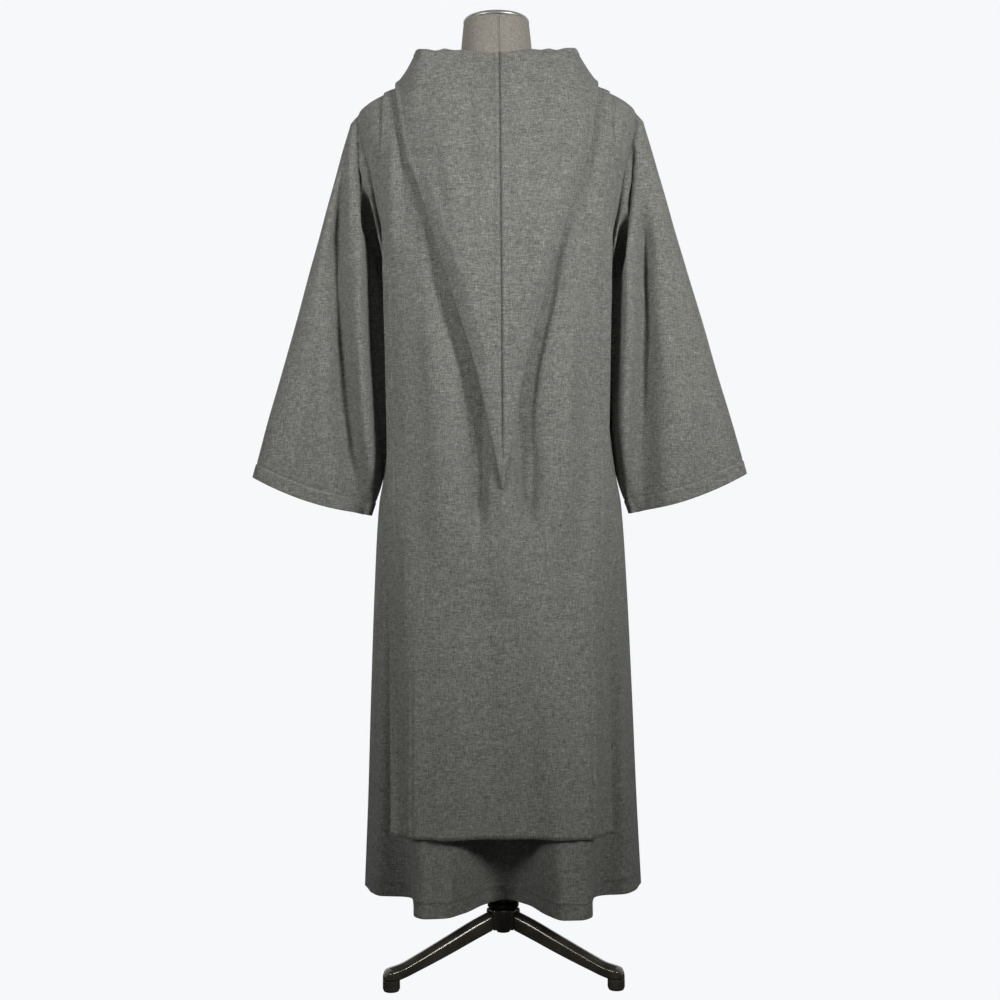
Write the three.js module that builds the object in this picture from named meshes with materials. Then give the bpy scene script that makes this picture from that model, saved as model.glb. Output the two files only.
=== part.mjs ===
import * as THREE from 'three';

// Monk habit on a limbless dress form: tunic with bell sleeves, scapular and pointed hood.
// Millimetres, +Z up, feet on z = 0, the wearer faces -Y and the hood hangs down the back at +Y.

const group = new THREE.Group();
group.name = 'monk_habit_on_dress_form';

// ---- driving sizes ----
const wall = 2;
const layerGap = 1;
const layerStep = wall + layerGap;
const seamGap = 0.3;
const poleY = 36;
const hemZ = 134;
const foldTopZ = 1040;
const armpitZ = 1315;
const shoulderZ = 1555;
const necklineZ = 1622;
const neckHalfWidth = 84;
const armholeHalfDepth = 32;
const squareness = 2.3;
const scapularHemZ = 269;
const hoodFoldRadius = 3.5;
const hoodSeamX = -5;

// ---- tables ----
const tunicSections = [
  { z: 134, halfWidth: 257, back: 106, front: 112 },
  { z: 300, halfWidth: 248, back: 108, front: 114 },
  { z: 500, halfWidth: 239, back: 110, front: 116 },
  { z: 700, halfWidth: 229, back: 111, front: 117 },
  { z: 844, halfWidth: 219, back: 111, front: 117 },
  { z: 889, halfWidth: 211, back: 111, front: 116 },
  { z: 947, halfWidth: 203, back: 110, front: 115 },
  { z: 1040, halfWidth: 195, back: 110, front: 114 },
  { z: 1180, halfWidth: 193, back: 112, front: 115 },
  { z: 1300, halfWidth: 202, back: 114, front: 117 },
  { z: 1390, halfWidth: 223, back: 110, front: 113 },
  { z: 1437, halfWidth: 233, back: 105, front: 107 },
  { z: 1496, halfWidth: 248, back: 97, front: 97 },
  { z: 1530, halfWidth: 253, back: 91, front: 90 },
  { z: 1555, halfWidth: 250, back: 85, front: 84 },
  { z: 1568, halfWidth: 238, back: 81, front: 80 },
  { z: 1586, halfWidth: 206, back: 77, front: 76 },
  { z: 1600, halfWidth: 165, back: 75, front: 74 },
  { z: 1612, halfWidth: 122, back: 73, front: 72 },
  { z: 1622, halfWidth: 84, back: 72, front: 71 },
];

// Where each upright line of the tunic, named by its angle from the panel's middle, ends at the hem.
const backHem = [
  { angle: -90, x: -257, y: -75 },
  { angle: -84, x: -243, y: -24 },
  { angle: -76, x: -220, y: 2 },
  { angle: -64, x: -186, y: 8 },
  { angle: -55, x: -166, y: 22 },
  { angle: -47, x: -158, y: 84 },
  { angle: -40, x: -155, y: 138 },
  { angle: -34, x: -134, y: 162 },
  { angle: -26, x: -104, y: 163 },
  { angle: -18, x: -74, y: 128 },
  { angle: -10, x: -44, y: 66 },
  { angle: 0, x: -2, y: 32 },
  { angle: 9, x: 34, y: 62 },
  { angle: 17, x: 68, y: 116 },
  { angle: 26, x: 100, y: 145 },
  { angle: 34, x: 134, y: 149 },
  { angle: 40, x: 155, y: 128 },
  { angle: 47, x: 159, y: 76 },
  { angle: 55, x: 166, y: 18 },
  { angle: 64, x: 188, y: 6 },
  { angle: 76, x: 222, y: 2 },
  { angle: 84, x: 243, y: -24 },
  { angle: 90, x: 257, y: -75 },
];

const frontHem = [
  { angle: -90, x: -257, y: -75 },
  { angle: -80, x: -247, y: -122 },
  { angle: -68, x: -214, y: -142 },
  { angle: -56, x: -180, y: -112 },
  { angle: -45, x: -146, y: -138 },
  { angle: -33, x: -108, y: -164 },
  { angle: -21, x: -68, y: -150 },
  { angle: -10, x: -32, y: -112 },
  { angle: 0, x: 4, y: -98 },
  { angle: 11, x: 40, y: -122 },
  { angle: 22, x: 76, y: -158 },
  { angle: 34, x: 116, y: -160 },
  { angle: 46, x: 150, y: -126 },
  { angle: 58, x: 186, y: -116 },
  { angle: 70, x: 222, y: -138 },
  { angle: 81, x: 249, y: -118 },
  { angle: 90, x: 257, y: -75 },
];

const foldGrowth = [
  { z: 134, share: 1 },
  { z: 269, share: 0.82 },
  { z: 450, share: 0.56 },
  { z: 650, share: 0.3 },
  { z: 850, share: 0.08 },
  { z: 1040, share: 0 },
];

// Depth of the scapular's own hang, where it stands clear of the tunic.
const scapularHang = {
  back: [
    { z: 269, left: 193, right: 190, edge: 108, middle: 142, lobe: 16 },
    { z: 420, left: 194, right: 189, edge: 86, middle: 140, lobe: 10 },
    { z: 640, left: 195, right: 188, edge: 62, middle: 138, lobe: 4 },
    { z: 853, left: 197, right: 190, edge: 50, middle: 137, lobe: 0 },
    { z: 1100, left: 200, right: 196, edge: 48, middle: 132, lobe: 0 },
    { z: 1300, left: 204, right: 201, edge: 50, middle: 125, lobe: 0 },
    { z: 1450, left: 205, right: 204, edge: 40, middle: 100, lobe: 0 },
    { z: 1600, left: 200, right: 200, edge: 0, middle: 60, lobe: 0 },
  ],
  front: [
    { z: 269, left: 193, right: 190, edge: 104, middle: 146, lobe: 14 },
    { z: 420, left: 194, right: 189, edge: 84, middle: 144, lobe: 9 },
    { z: 640, left: 195, right: 188, edge: 64, middle: 140, lobe: 4 },
    { z: 853, left: 197, right: 190, edge: 54, middle: 136, lobe: 0 },
    { z: 1100, left: 200, right: 196, edge: 52, middle: 130, lobe: 0 },
    { z: 1300, left: 204, right: 201, edge: 50, middle: 126, lobe: 0 },
    { z: 1450, left: 205, right: 204, edge: 40, middle: 100, lobe: 0 },
    { z: 1600, left: 200, right: 200, edge: 0, middle: 60, lobe: 0 },
  ],
};

// Sleeve: its upper (outer) line, its under line, and half its depth from front to back.
const sleeveLine = [
  { along: 0.05, topX: 265, topZ: 1538, underX: 209, underZ: 1297, depth: 40 },
  { along: 0.25, topX: 304, topZ: 1403, underX: 206, underZ: 1190, depth: 52 },
  { along: 0.5, topX: 353, topZ: 1235, underX: 206, underZ: 1068, depth: 57 },
  { along: 0.75, topX: 401, topZ: 1066, underX: 210, underZ: 947, depth: 57 },
  { along: 0.88, topX: 427, topZ: 979, underX: 220, underZ: 886, depth: 54 },
  { along: 1, topX: 450, topZ: 898, underX: 237, underZ: 827, depth: 48 },
];
const sleeveStations = [0.05, 0.12, 0.2, 0.3, 0.41, 0.52, 0.63, 0.74, 0.84, 0.92, 1];

// Hood: what each line from the neck seam, down to the bag's fold and up to the hemmed edge, passes.
const hoodLines = [
  { turn: 0, neckX: 0, foldX: 0, foldDrop: 747, edgeX: 0, edgeDrop: 0, lift: 26, rise: 10 },
  { turn: 5, neckX: 8, foldX: 13, foldDrop: 696, edgeX: 12, edgeDrop: 0, lift: 26, rise: 10 },
  { turn: 11, neckX: 17, foldX: 27, foldDrop: 630, edgeX: 27, edgeDrop: 1, lift: 26, rise: 11 },
  { turn: 18, neckX: 27, foldX: 50, foldDrop: 534, edgeX: 43, edgeDrop: 2, lift: 26, rise: 12 },
  { turn: 27, neckX: 39, foldX: 81, foldDrop: 424, edgeX: 62, edgeDrop: 6, lift: 27, rise: 14 },
  { turn: 37, neckX: 52, foldX: 112, foldDrop: 311, edgeX: 82, edgeDrop: 13, lift: 30, rise: 22 },
  { turn: 48, neckX: 64, foldX: 138, foldDrop: 214, edgeX: 100, edgeDrop: 18, lift: 33, rise: 30 },
  { turn: 59, neckX: 74, foldX: 158, foldDrop: 138, edgeX: 112, edgeDrop: 18, lift: 36, rise: 31 },
  { turn: 70, neckX: 80, foldX: 172, foldDrop: 74, edgeX: 121, edgeDrop: 13, lift: 38, rise: 26 },
  { turn: 77, neckX: 83, foldX: 179, foldDrop: 34, edgeX: 125, edgeDrop: 7, lift: 40, rise: 12 },
  { turn: 82, neckX: 84.5, foldX: 182, foldDrop: 13, edgeX: 127, edgeDrop: 3, lift: 40, rise: 5 },
  { turn: 85, neckX: 85, foldX: 183, foldDrop: 4.5, edgeX: 128, edgeDrop: 1.2, lift: 40, rise: 2 },
  { turn: 88, neckX: 85.5, foldX: 184, foldDrop: 1, edgeX: 128, edgeDrop: 0.3, lift: 40, rise: 0 },
  { turn: 90, neckX: 86, foldX: 184, foldDrop: 0, edgeX: 128, edgeDrop: 0, lift: 40, rise: 0 },
  { turn: 92, neckX: 85.5, foldX: 184, foldDrop: 1, edgeX: 128, edgeDrop: 0.3, lift: 40, rise: 0 },
  { turn: 95, neckX: 85, foldX: 182, foldDrop: 4.5, edgeX: 127, edgeDrop: 1.2, lift: 39, rise: 0 },
  { turn: 98, neckX: 84.5, foldX: 180, foldDrop: 13, edgeX: 125, edgeDrop: 3, lift: 38, rise: 1 },
  { turn: 104, neckX: 82, foldX: 174, foldDrop: 34, edgeX: 120, edgeDrop: 7, lift: 36, rise: 2 },
  { turn: 120, neckX: 73, foldX: 148, foldDrop: 62, edgeX: 100, edgeDrop: 14, lift: 32, rise: 4 },
  { turn: 138, neckX: 54, foldX: 104, foldDrop: 88, edgeX: 68, edgeDrop: 18, lift: 28, rise: 4 },
  { turn: 160, neckX: 25, foldX: 48, foldDrop: 104, edgeX: 31, edgeDrop: 22, lift: 25, rise: 2 },
  { turn: 180, neckX: 0, foldX: 0, foldDrop: 108, edgeX: 0, edgeDrop: 24, lift: 24, rise: 0 },
];

const formSections = [
  { z: 832, halfWidth: 146, back: 88, front: 92 },
  { z: 840, halfWidth: 156, back: 96, front: 100 },
  { z: 900, halfWidth: 164, back: 101, front: 104 },
  { z: 990, halfWidth: 156, back: 96, front: 101 },
  { z: 1085, halfWidth: 146, back: 90, front: 98 },
  { z: 1200, halfWidth: 158, back: 98, front: 104 },
  { z: 1310, halfWidth: 172, back: 104, front: 108 },
  { z: 1400, halfWidth: 188, back: 99, front: 102 },
  { z: 1470, halfWidth: 206, back: 91, front: 93 },
  { z: 1520, halfWidth: 218, back: 83, front: 83 },
  { z: 1555, halfWidth: 221, back: 76, front: 75 },
  { z: 1573, halfWidth: 214, back: 74, front: 73 },
];
const shoulderContactZ = [1586, 1600, 1612, 1622];
const neckSections = [
  { z: 1634, halfWidth: 70, back: 64, front: 64 },
  { z: 1650, halfWidth: 66, back: 62, front: 62 },
  { z: 1680, halfWidth: 64, back: 61, front: 61 },
  { z: 1718.7, halfWidth: 60, back: 58, front: 58 },
];

// ---- small helpers ----
function clamp(value, low, high) {
  return Math.min(high, Math.max(low, value));
}

function mix(from, to, share) {
  return from + (to - from) * share;
}

function easeBetween(low, high, value) {
  const share = clamp((value - low) / (high - low), 0, 1);
  return share * share * (3 - 2 * share);
}

// Reads a column of a table at a place between its rows, as a smooth curve without overshoot.
function readTable(table, key, at, column) {
  const last = table.length - 1;
  if (at <= table[0][key]) return table[0][column];
  if (at >= table[last][key]) return table[last][column];
  let row = 0;
  while (table[row + 1][key] < at) row += 1;
  const slope = (n) => {
    if (n < 0 || n >= last) return 0;
    return (table[n + 1][column] - table[n][column]) / (table[n + 1][key] - table[n][key]);
  };
  const tangent = (n) => {
    if (n === 0) return slope(0);
    if (n === last) return slope(last - 1);
    const before = slope(n - 1);
    const after = slope(n);
    if (before * after <= 0) return 0;
    return (2 * before * after) / (before + after);
  };
  const span = table[row + 1][key] - table[row][key];
  const s = (at - table[row][key]) / span;
  const s2 = s * s;
  const s3 = s2 * s;
  return (
    (2 * s3 - 3 * s2 + 1) * table[row][column] +
    (s3 - 2 * s2 + s) * span * tangent(row) +
    (3 * s2 - 2 * s3) * table[row + 1][column] +
    (s3 - s2) * span * tangent(row + 1)
  );
}

function signedPower(value, power) {
  return Math.sign(value) * Math.pow(Math.abs(value), power);
}

// ---- meshes from grids ----
function triangleBody(points, faces) {
  let volume = 0;
  for (const [a, b, c] of faces) {
    volume += points[a].dot(points[b].clone().cross(points[c])) / 6;
  }
  const index = [];
  for (const [a, b, c] of faces) {
    if (volume > 0) index.push(a, b, c);
    else index.push(a, c, b);
  }
  const geometry = new THREE.BufferGeometry();
  geometry.setAttribute('position', new THREE.Float32BufferAttribute(points.flatMap((p) => p.toArray()), 3));
  geometry.setIndex(index);
  return geometry;
}

// Cloth of even thickness about a grid of points. A wrapped grid joins its last column to its first.
function clothWall(grid, wrapped, setNormal) {
  const rows = grid.length;
  const columns = grid[0].length;
  const at = (r, c) => {
    const column = wrapped ? (c + columns) % columns : clamp(c, 0, columns - 1);
    return grid[clamp(r, 0, rows - 1)][column];
  };
  const outer = [];
  const inner = [];
  for (let r = 0; r < rows; r += 1) {
    for (let c = 0; c < columns; c += 1) {
      const across = at(r, c + 1).clone().sub(at(r, c - 1));
      const up = at(r + 1, c).clone().sub(at(r - 1, c));
      const normal = across.cross(up).normalize();
      if (setNormal) setNormal(normal, r, c, grid[r][c]);
      normal.normalize();
      outer.push(grid[r][c].clone().addScaledVector(normal, wall / 2));
      inner.push(grid[r][c].clone().addScaledVector(normal, -wall / 2));
    }
  }
  const points = [...outer, ...inner];
  const shift = rows * columns;
  const spot = (r, c) => r * columns + (c % columns);
  const faces = [];
  const quad = (a, b, c, d) => {
    const straight = points[a].distanceToSquared(points[c]) <= points[b].distanceToSquared(points[d]);
    if (straight) faces.push([a, b, c], [a, c, d]);
    else faces.push([a, b, d], [b, c, d]);
  };
  const spans = wrapped ? columns : columns - 1;
  for (let r = 0; r < rows - 1; r += 1) {
    for (let c = 0; c < spans; c += 1) {
      quad(spot(r, c), spot(r, c + 1), spot(r + 1, c + 1), spot(r + 1, c));
      quad(shift + spot(r, c), shift + spot(r + 1, c), shift + spot(r + 1, c + 1), shift + spot(r, c + 1));
    }
  }
  for (let c = 0; c < spans; c += 1) {
    quad(spot(0, c + 1), spot(0, c), shift + spot(0, c), shift + spot(0, c + 1));
    quad(spot(rows - 1, c), spot(rows - 1, c + 1), shift + spot(rows - 1, c + 1), shift + spot(rows - 1, c));
  }
  if (!wrapped) {
    const end = columns - 1;
    for (let r = 0; r < rows - 1; r += 1) {
      quad(spot(r, 0), spot(r + 1, 0), shift + spot(r + 1, 0), shift + spot(r, 0));
      quad(spot(r + 1, end), spot(r, end), shift + spot(r, end), shift + spot(r + 1, end));
    }
  }
  return triangleBody(points, faces);
}

// A whole body from rings of equal count, closed at both ends by a middle point.
function ringBody(rings) {
  const count = rings[0].length;
  const points = rings.flat();
  const faces = [];
  for (let r = 0; r < rings.length - 1; r += 1) {
    for (let c = 0; c < count; c += 1) {
      const a = r * count + c;
      const b = r * count + ((c + 1) % count);
      faces.push([a, b, b + count], [a, b + count, a + count]);
    }
  }
  const middleOf = (ring) => {
    const middle = new THREE.Vector3();
    for (const point of ring) middle.addScaledVector(point, 1 / count);
    return middle;
  };
  const low = points.push(middleOf(rings[0])) - 1;
  const high = points.push(middleOf(rings[rings.length - 1])) - 1;
  const top = (rings.length - 1) * count;
  for (let c = 0; c < count; c += 1) {
    const next = (c + 1) % count;
    faces.push([low, next, c], [high, top + c, top + next]);
  }
  return triangleBody(points, faces);
}

function addPiece(name, geometry, colour, roughness, metalness) {
  const material = new THREE.MeshStandardMaterial({ color: colour, roughness, metalness });
  const mesh = new THREE.Mesh(geometry.translate(0, poleY, 0), material);
  mesh.name = name;
  group.add(mesh);
}

function addWool(name, geometry) {
  addPiece(name, geometry, 0x5e5e5a, 0.95, 0);
}

// ---- tunic surface ----
function sectionSize(z, side) {
  return {
    halfWidth: readTable(tunicSections, 'z', z, 'halfWidth'),
    depth: readTable(tunicSections, 'z', z, side > 0 ? 'back' : 'front'),
  };
}

function ovalPoint(angle, z, halfWidth, depth, side) {
  const x = halfWidth * signedPower(Math.sin(angle), 2 / squareness);
  const y = side * depth * signedPower(Math.max(0, Math.cos(angle)), 2 / squareness);
  return new THREE.Vector3(x, y, z);
}

// Middle of the tunic's cloth at an angle from the panel's middle line; side 1 is the back, -1 the front.
function tunicPoint(angle, z, side) {
  const size = sectionSize(z, side);
  const point = ovalPoint(angle, z, size.halfWidth, size.depth, side);
  const share = z < foldTopZ ? readTable(foldGrowth, 'z', z, 'share') : 0;
  if (share > 0) {
    const hem = side > 0 ? backHem : frontHem;
    const degrees = THREE.MathUtils.radToDeg(angle);
    const size0 = sectionSize(hemZ, side);
    const plain = ovalPoint(angle, hemZ, size0.halfWidth, size0.depth, side);
    point.x += share * (readTable(hem, 'angle', degrees, 'x') - plain.x);
    point.y += share * (readTable(hem, 'angle', degrees, 'y') - plain.y);
  }
  return point;
}

// Outward direction of the tunic's oval section at a point on it.
function ovalNormal(x, y, z, side) {
  const { halfWidth, depth } = sectionSize(z, side);
  const above = sectionSize(z + 1, side);
  const below = sectionSize(z - 1, side);
  const widthSlope = (above.halfWidth - below.halfWidth) / 2;
  const depthSlope = (above.depth - below.depth) / 2;
  const xShare = Math.pow(Math.abs(x) / halfWidth, squareness);
  const yShare = Math.pow(Math.abs(y) / depth, squareness);
  return new THREE.Vector3(
    (Math.sign(x) * Math.pow(Math.abs(x) / halfWidth, squareness - 1)) / halfWidth,
    (side * Math.pow(Math.abs(y) / depth, squareness - 1)) / depth,
    (-xShare * widthSlope) / halfWidth - (yShare * depthSlope) / depth,
  ).normalize();
}

function armholeDepth(z) {
  const reach = (z - (armpitZ + shoulderZ) / 2) / ((shoulderZ - armpitZ) / 2);
  if (Math.abs(reach) >= 1) return 0;
  return armholeHalfDepth * Math.pow(1 - Math.pow(Math.abs(reach), 2.2), 1 / 2.2);
}

function lastAngle(z, side) {
  const share = armholeDepth(z) / sectionSize(z, side).depth;
  return Math.acos(Math.pow(share, squareness / 2));
}

// ---- tunic panels ----
const tunicColumns = 28;
const armholeRows = [1315, 1321, 1337, 1362, 1394, 1428, 1462, 1494, 1522, 1545, 1555];
const tunicRows = [134, 165, 210, 275, 360, 460, 590, 730, 870, 1000, 1160, ...armholeRows];
tunicRows.push(1568, 1586, 1600, 1612, 1622);

function tunicPanel(side) {
  const grid = tunicRows.map((z) => {
    const reach = lastAngle(z, side);
    const row = [];
    for (let c = 0; c <= tunicColumns; c += 1) {
      const angle = mix(-reach, reach, c / tunicColumns);
      const point = tunicPoint(angle, z, side);
      const onSeam = c === 0 || c === tunicColumns;
      if (onSeam && armholeDepth(z) === 0) point.y += (side * seamGap) / 2;
      row.push(point);
    }
    return row;
  });
  return clothWall(grid, false, (normal, r, c) => {
    const onSeam = c === 0 || c === tunicColumns;
    if (onSeam && armholeDepth(tunicRows[r]) === 0) normal.y = 0;
  });
}

addWool('tunic_back', tunicPanel(1));
addWool('tunic_front', tunicPanel(-1));

// ---- sleeves ----
const sleeveFolds = {
  left: { side: 1, valley: 0.9, valleyDepth: 15, ridgeStart: 0.3, ridgeGrowth: 0.8 },
  right: { side: -1, valley: 0.86, valleyDepth: 13, ridgeStart: 0.34, ridgeGrowth: 0.74 },
};

// Half depth of the sleeve at a share of the way from its upper line to its under line.
function sleeveDepth(along, down, depth, folds, face) {
  const edge = Math.pow(Math.abs(2 * down - 1), 2.4);
  const plain = depth * Math.pow(Math.max(0, 1 - edge), 1 / 2.4);
  const strength = easeBetween(0.1, 0.45, along) * easeBetween(0, 0.12, down) * easeBetween(0, 0.12, 1 - down);
  if (face < 0) return plain - strength * 9 * Math.exp(-Math.pow((down - 0.45) / 0.12, 2));
  const valley = Math.exp(-Math.pow((down - folds.valley * along) / 0.1, 2));
  const ridgeAt = Math.min(0.94, folds.ridgeStart + folds.ridgeGrowth * along);
  const ridge = Math.exp(-Math.pow((down - ridgeAt) / 0.1, 2));
  return plain + strength * (7 * ridge - folds.valleyDepth * valley);
}

function sleeveBody(folds) {
  const steps = armholeRows.length - 1;
  const downShares = armholeRows.map((z) => (shoulderZ - z) / (shoulderZ - armpitZ)).reverse();
  const places = [];
  for (let n = 0; n <= steps; n += 1) places.push({ n, face: 1 });
  for (let n = steps - 1; n > 0; n -= 1) places.push({ n, face: -1 });
  const armhole = places.map(({ n, face }) => {
    const z = armholeRows[steps - n];
    const point = tunicPoint(folds.side * lastAngle(z, face), z, face);
    const normal = ovalNormal(point.x, point.y, z, face);
    return point.addScaledVector(normal, wall / 2 + seamGap + 0.1);
  });
  const grid = [armhole];
  for (const along of sleeveStations) {
    const line = {};
    for (const column of ['topX', 'topZ', 'underX', 'underZ', 'depth']) {
      line[column] = readTable(sleeveLine, 'along', along, column);
    }
    const forward = -12 * along;
    const sag = 10 * easeBetween(0.6, 1, along);
    grid.push(
      places.map(({ n, face }) => {
        const down = downShares[n];
        const out = sleeveDepth(along, down, line.depth, folds, face);
        return new THREE.Vector3(
          folds.side * mix(line.topX, line.underX, down),
          forward + face * out,
          mix(line.topZ, line.underZ, down) - sag * Math.sin(Math.PI * down),
        );
      }),
    );
  }
  return clothWall(grid, true, (normal, r, c, point) => {
    if (r > 0) return;
    const tunicNormal = ovalNormal(point.x, point.y, point.z, places[c].face);
    normal.addScaledVector(tunicNormal, -normal.dot(tunicNormal));
  });
}

addWool('sleeve_left', sleeveBody(sleeveFolds.left));
addWool('sleeve_right', sleeveBody(sleeveFolds.right));

// ---- layers that lie on the tunic ----
// Height of the shoulder ridge over a point x; inside the neck opening it is the neckline.
function ridgeHeight(x) {
  const reach = Math.abs(x);
  if (reach <= neckHalfWidth) return necklineZ;
  let low = shoulderZ;
  let high = necklineZ;
  for (let n = 0; n < 40; n += 1) {
    const middle = (low + high) / 2;
    if (readTable(tunicSections, 'z', middle, 'halfWidth') > reach) low = middle;
    else high = middle;
  }
  return low;
}

function tunicDepth(x, z, side) {
  if (z >= foldTopZ) {
    const { halfWidth, depth } = sectionSize(z, side);
    const share = Math.pow(Math.min(1, Math.abs(x) / halfWidth), squareness);
    return depth * Math.pow(1 - share, 1 / squareness);
  }
  const reach = 9 * easeBetween(foldTopZ, foldTopZ - 200, z);
  let deepest = -60;
  for (let degrees = -90; degrees <= 90; degrees += 2.5) {
    const point = tunicPoint(THREE.MathUtils.degToRad(degrees), z, side);
    const away = Math.max(0, Math.abs(point.x - x) - reach);
    deepest = Math.max(deepest, side * point.y - 0.09 * away * away);
  }
  return deepest;
}

function hangDepth(x, z, side) {
  const table = side > 0 ? scapularHang.back : scapularHang.front;
  const half = readTable(table, 'z', z, x > 0 ? 'left' : 'right');
  const edge = readTable(table, 'z', z, 'edge');
  const middle = readTable(table, 'z', z, 'middle');
  const lobe = readTable(table, 'z', z, 'lobe');
  const reach = Math.min(1.05, Math.abs(x) / half);
  const bump = Math.exp(-Math.pow((reach - 0.55) / 0.22, 2));
  return mix(middle, edge, Math.pow(reach, 2.6)) + lobe * bump;
}

// Depth of the first layer over the tunic: the tunic's own depth, or the layer's hang where that is more.
function layerDepth(x, z, side) {
  const tunic = tunicDepth(x, z, side);
  const hang = hangDepth(x, z, side) - layerStep;
  const softness = 5;
  const push = softness * Math.log(1 + Math.exp((hang - tunic) / softness));
  return tunic + push * (1 - easeBetween(1400, 1500, z));
}

// A point over the tunic at x, a drop below the shoulder ridge, lifted off the tunic's cloth.
function layerPoint(x, drop, side, lift) {
  const z = ridgeHeight(x) - drop;
  const y = layerDepth(x, z, side);
  const settled = easeBetween(1440, 1500, z);
  const normal = new THREE.Vector3(0, 0, 0);
  if (settled < 1) {
    const across = (layerDepth(x + 4, z, side) - layerDepth(x - 4, z, side)) / 8;
    const up = (layerDepth(x, z + 4, side) - layerDepth(x, z - 4, side)) / 8;
    normal.set(-clamp(across, -2, 2), side, -up).normalize().multiplyScalar(1 - settled);
  }
  if (settled > 0) normal.addScaledVector(ovalNormal(x, y, z, side), settled);
  return new THREE.Vector3(x, side * y, z).addScaledVector(normal.normalize(), lift);
}

// ---- scapular panels ----
const scapularShares = [0, 0.13, 0.25, 0.34, 0.395, 0.42, 0.5, 0.62, 0.75, 0.88, 1];
const scapularDrops = [0, 0.7, 2.6, 6, 12, 22, 38, 62, 95, 140, 190, 250];
const scapularLowRows = 8;

function scapularPanel(side) {
  const shares = [...scapularShares.slice(1).map((s) => -s).reverse(), ...scapularShares];
  const table = side > 0 ? scapularHang.back : scapularHang.front;
  const place = (share, z) => share * readTable(table, 'z', z, share > 0 ? 'left' : 'right');
  const grid = scapularDrops.map((drop) =>
    shares.map((share) => {
      const x = place(share, 1600 - drop);
      const point = layerPoint(x, drop, side, layerStep);
      if (drop === 0 && Math.abs(x) >= neckHalfWidth) point.y = (side * seamGap) / 2;
      return point;
    }),
  );
  const lastDrop = scapularDrops[scapularDrops.length - 1];
  for (let n = 1; n <= scapularLowRows; n += 1) {
    grid.push(
      shares.map((share) => {
        const start = ridgeHeight(share * 200) - lastDrop;
        const z = mix(start, scapularHemZ, Math.pow(n / scapularLowRows, 0.9));
        const x = place(share, z);
        return layerPoint(x, ridgeHeight(x) - z, side, layerStep);
      }),
    );
  }
  return clothWall(grid, false, (normal, r, c, point) => {
    if (r === 0 && Math.abs(point.y) < seamGap) normal.y = 0;
  });
}

addWool('scapular_back', scapularPanel(1));
addWool('scapular_front', scapularPanel(-1));

// ---- hood halves ----
const underShares = [0, 0.12, 0.25, 0.38, 0.52, 0.66, 0.8, 0.92];
const foldTurns = [-90, -30, 30, 90];
const outerShares = [0.1, 0.25, 0.42, 0.6, 0.78, 0.9, 1];
const hoodEase = 1.5;

function hoodHalf(hand) {
  const place = (x) => hand * x + hoodSeamX * Math.max(0, 1 - x / 80);
  const columns = hoodLines.map((line) => {
    const side = line.turn <= 90 ? 1 : -1;
    const run = Math.hypot(line.foldX - line.neckX, line.foldDrop);
    const xStep = (line.foldX - line.neckX) / run;
    const dropStep = line.foldDrop / run;
    const under = 2 * layerStep + hoodEase;
    const crowding = 1 + 1.2 * clamp(line.foldDrop / 300, 0, 1);
    const column = underShares.map((even) => {
      const share = Math.pow(even, crowding);
      return layerPoint(place(mix(line.neckX, line.foldX, share)), line.foldDrop * share, side, under);
    });
    for (const turn of foldTurns) {
      const radians = THREE.MathUtils.degToRad(turn);
      const out = hoodFoldRadius * Math.cos(radians);
      const lift = under + hoodFoldRadius * (1 + Math.sin(radians));
      column.push(layerPoint(place(line.foldX + xStep * out), line.foldDrop + dropStep * out, side, lift));
    }
    for (const share of outerShares) {
      const x = place(mix(line.foldX, line.edgeX, share));
      const drop = mix(line.foldDrop, line.edgeDrop, share);
      const start = under + 2 * hoodFoldRadius;
      const swell = 9 * Math.sin(Math.PI * Math.min(1, share * 1.4)) * (1 - share) * Math.min(1, run / 300);
      const lift = mix(start, line.lift + layerStep, Math.pow(share, 1.6)) + swell;
      const point = layerPoint(x, drop, side, lift);
      point.z += line.rise * Math.pow(share, 3);
      column.push(point);
    }
    const onSeam = line.turn === 0 || line.turn === 180;
    if (onSeam) for (const point of column) point.x = hoodSeamX + (hand * seamGap) / 2;
    return column;
  });
  return clothWall(columns, false, (normal, r) => {
    if (r === 0 || r === columns.length - 1) normal.x = 0;
  });
}

addWool('hood_left', hoodHalf(1));
addWool('hood_right', hoodHalf(-1));

// ---- dress form ----
const formColumns = 28;

function formRing(point) {
  const ring = [];
  for (let c = 0; c < formColumns; c += 1) {
    const turn = (2 * Math.PI * c) / formColumns;
    const side = Math.cos(turn) >= 0 ? 1 : -1;
    const angle = side > 0 ? Math.atan2(Math.sin(turn), Math.cos(turn)) : Math.asin(Math.sin(turn));
    ring.push(point(angle, side));
  }
  return ring;
}

function formBody() {
  const plainRing = (row) =>
    formRing((angle, side) => ovalPoint(angle, row.z, row.halfWidth, side > 0 ? row.back : row.front, side));
  const contact = shoulderContactZ.map((z) =>
    formRing((angle, side) => {
      const point = tunicPoint(angle, z, side);
      return point.addScaledVector(ovalNormal(point.x, point.y, z, side), -(wall / 2 + seamGap + 0.2));
    }),
  );
  return ringBody([...formSections.map(plainRing), ...contact, ...neckSections.map(plainRing)]);
}

addPiece('form_torso', formBody(), 0xa8a294, 0.9, 0);

// ---- stand ----
const poleRadius = 14;
const hubLowZ = 76;
const hubHighZ = 112;
const legCount = 3;
const legReach = 226;

function lathe(profile, steps) {
  const points = profile.map(([r, z]) => new THREE.Vector2(r, z));
  return new THREE.LatheGeometry(points, steps).rotateX(Math.PI / 2);
}

const capProfile = [[0, 1719], [58.5, 1719], [60, 1720.5], [60, 1723], [57, 1726.5], [40, 1731], [0, 1733]];
addPiece('neck_cap', lathe(capProfile, 28), 0xaaaba6, 0.35, 1);

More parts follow.
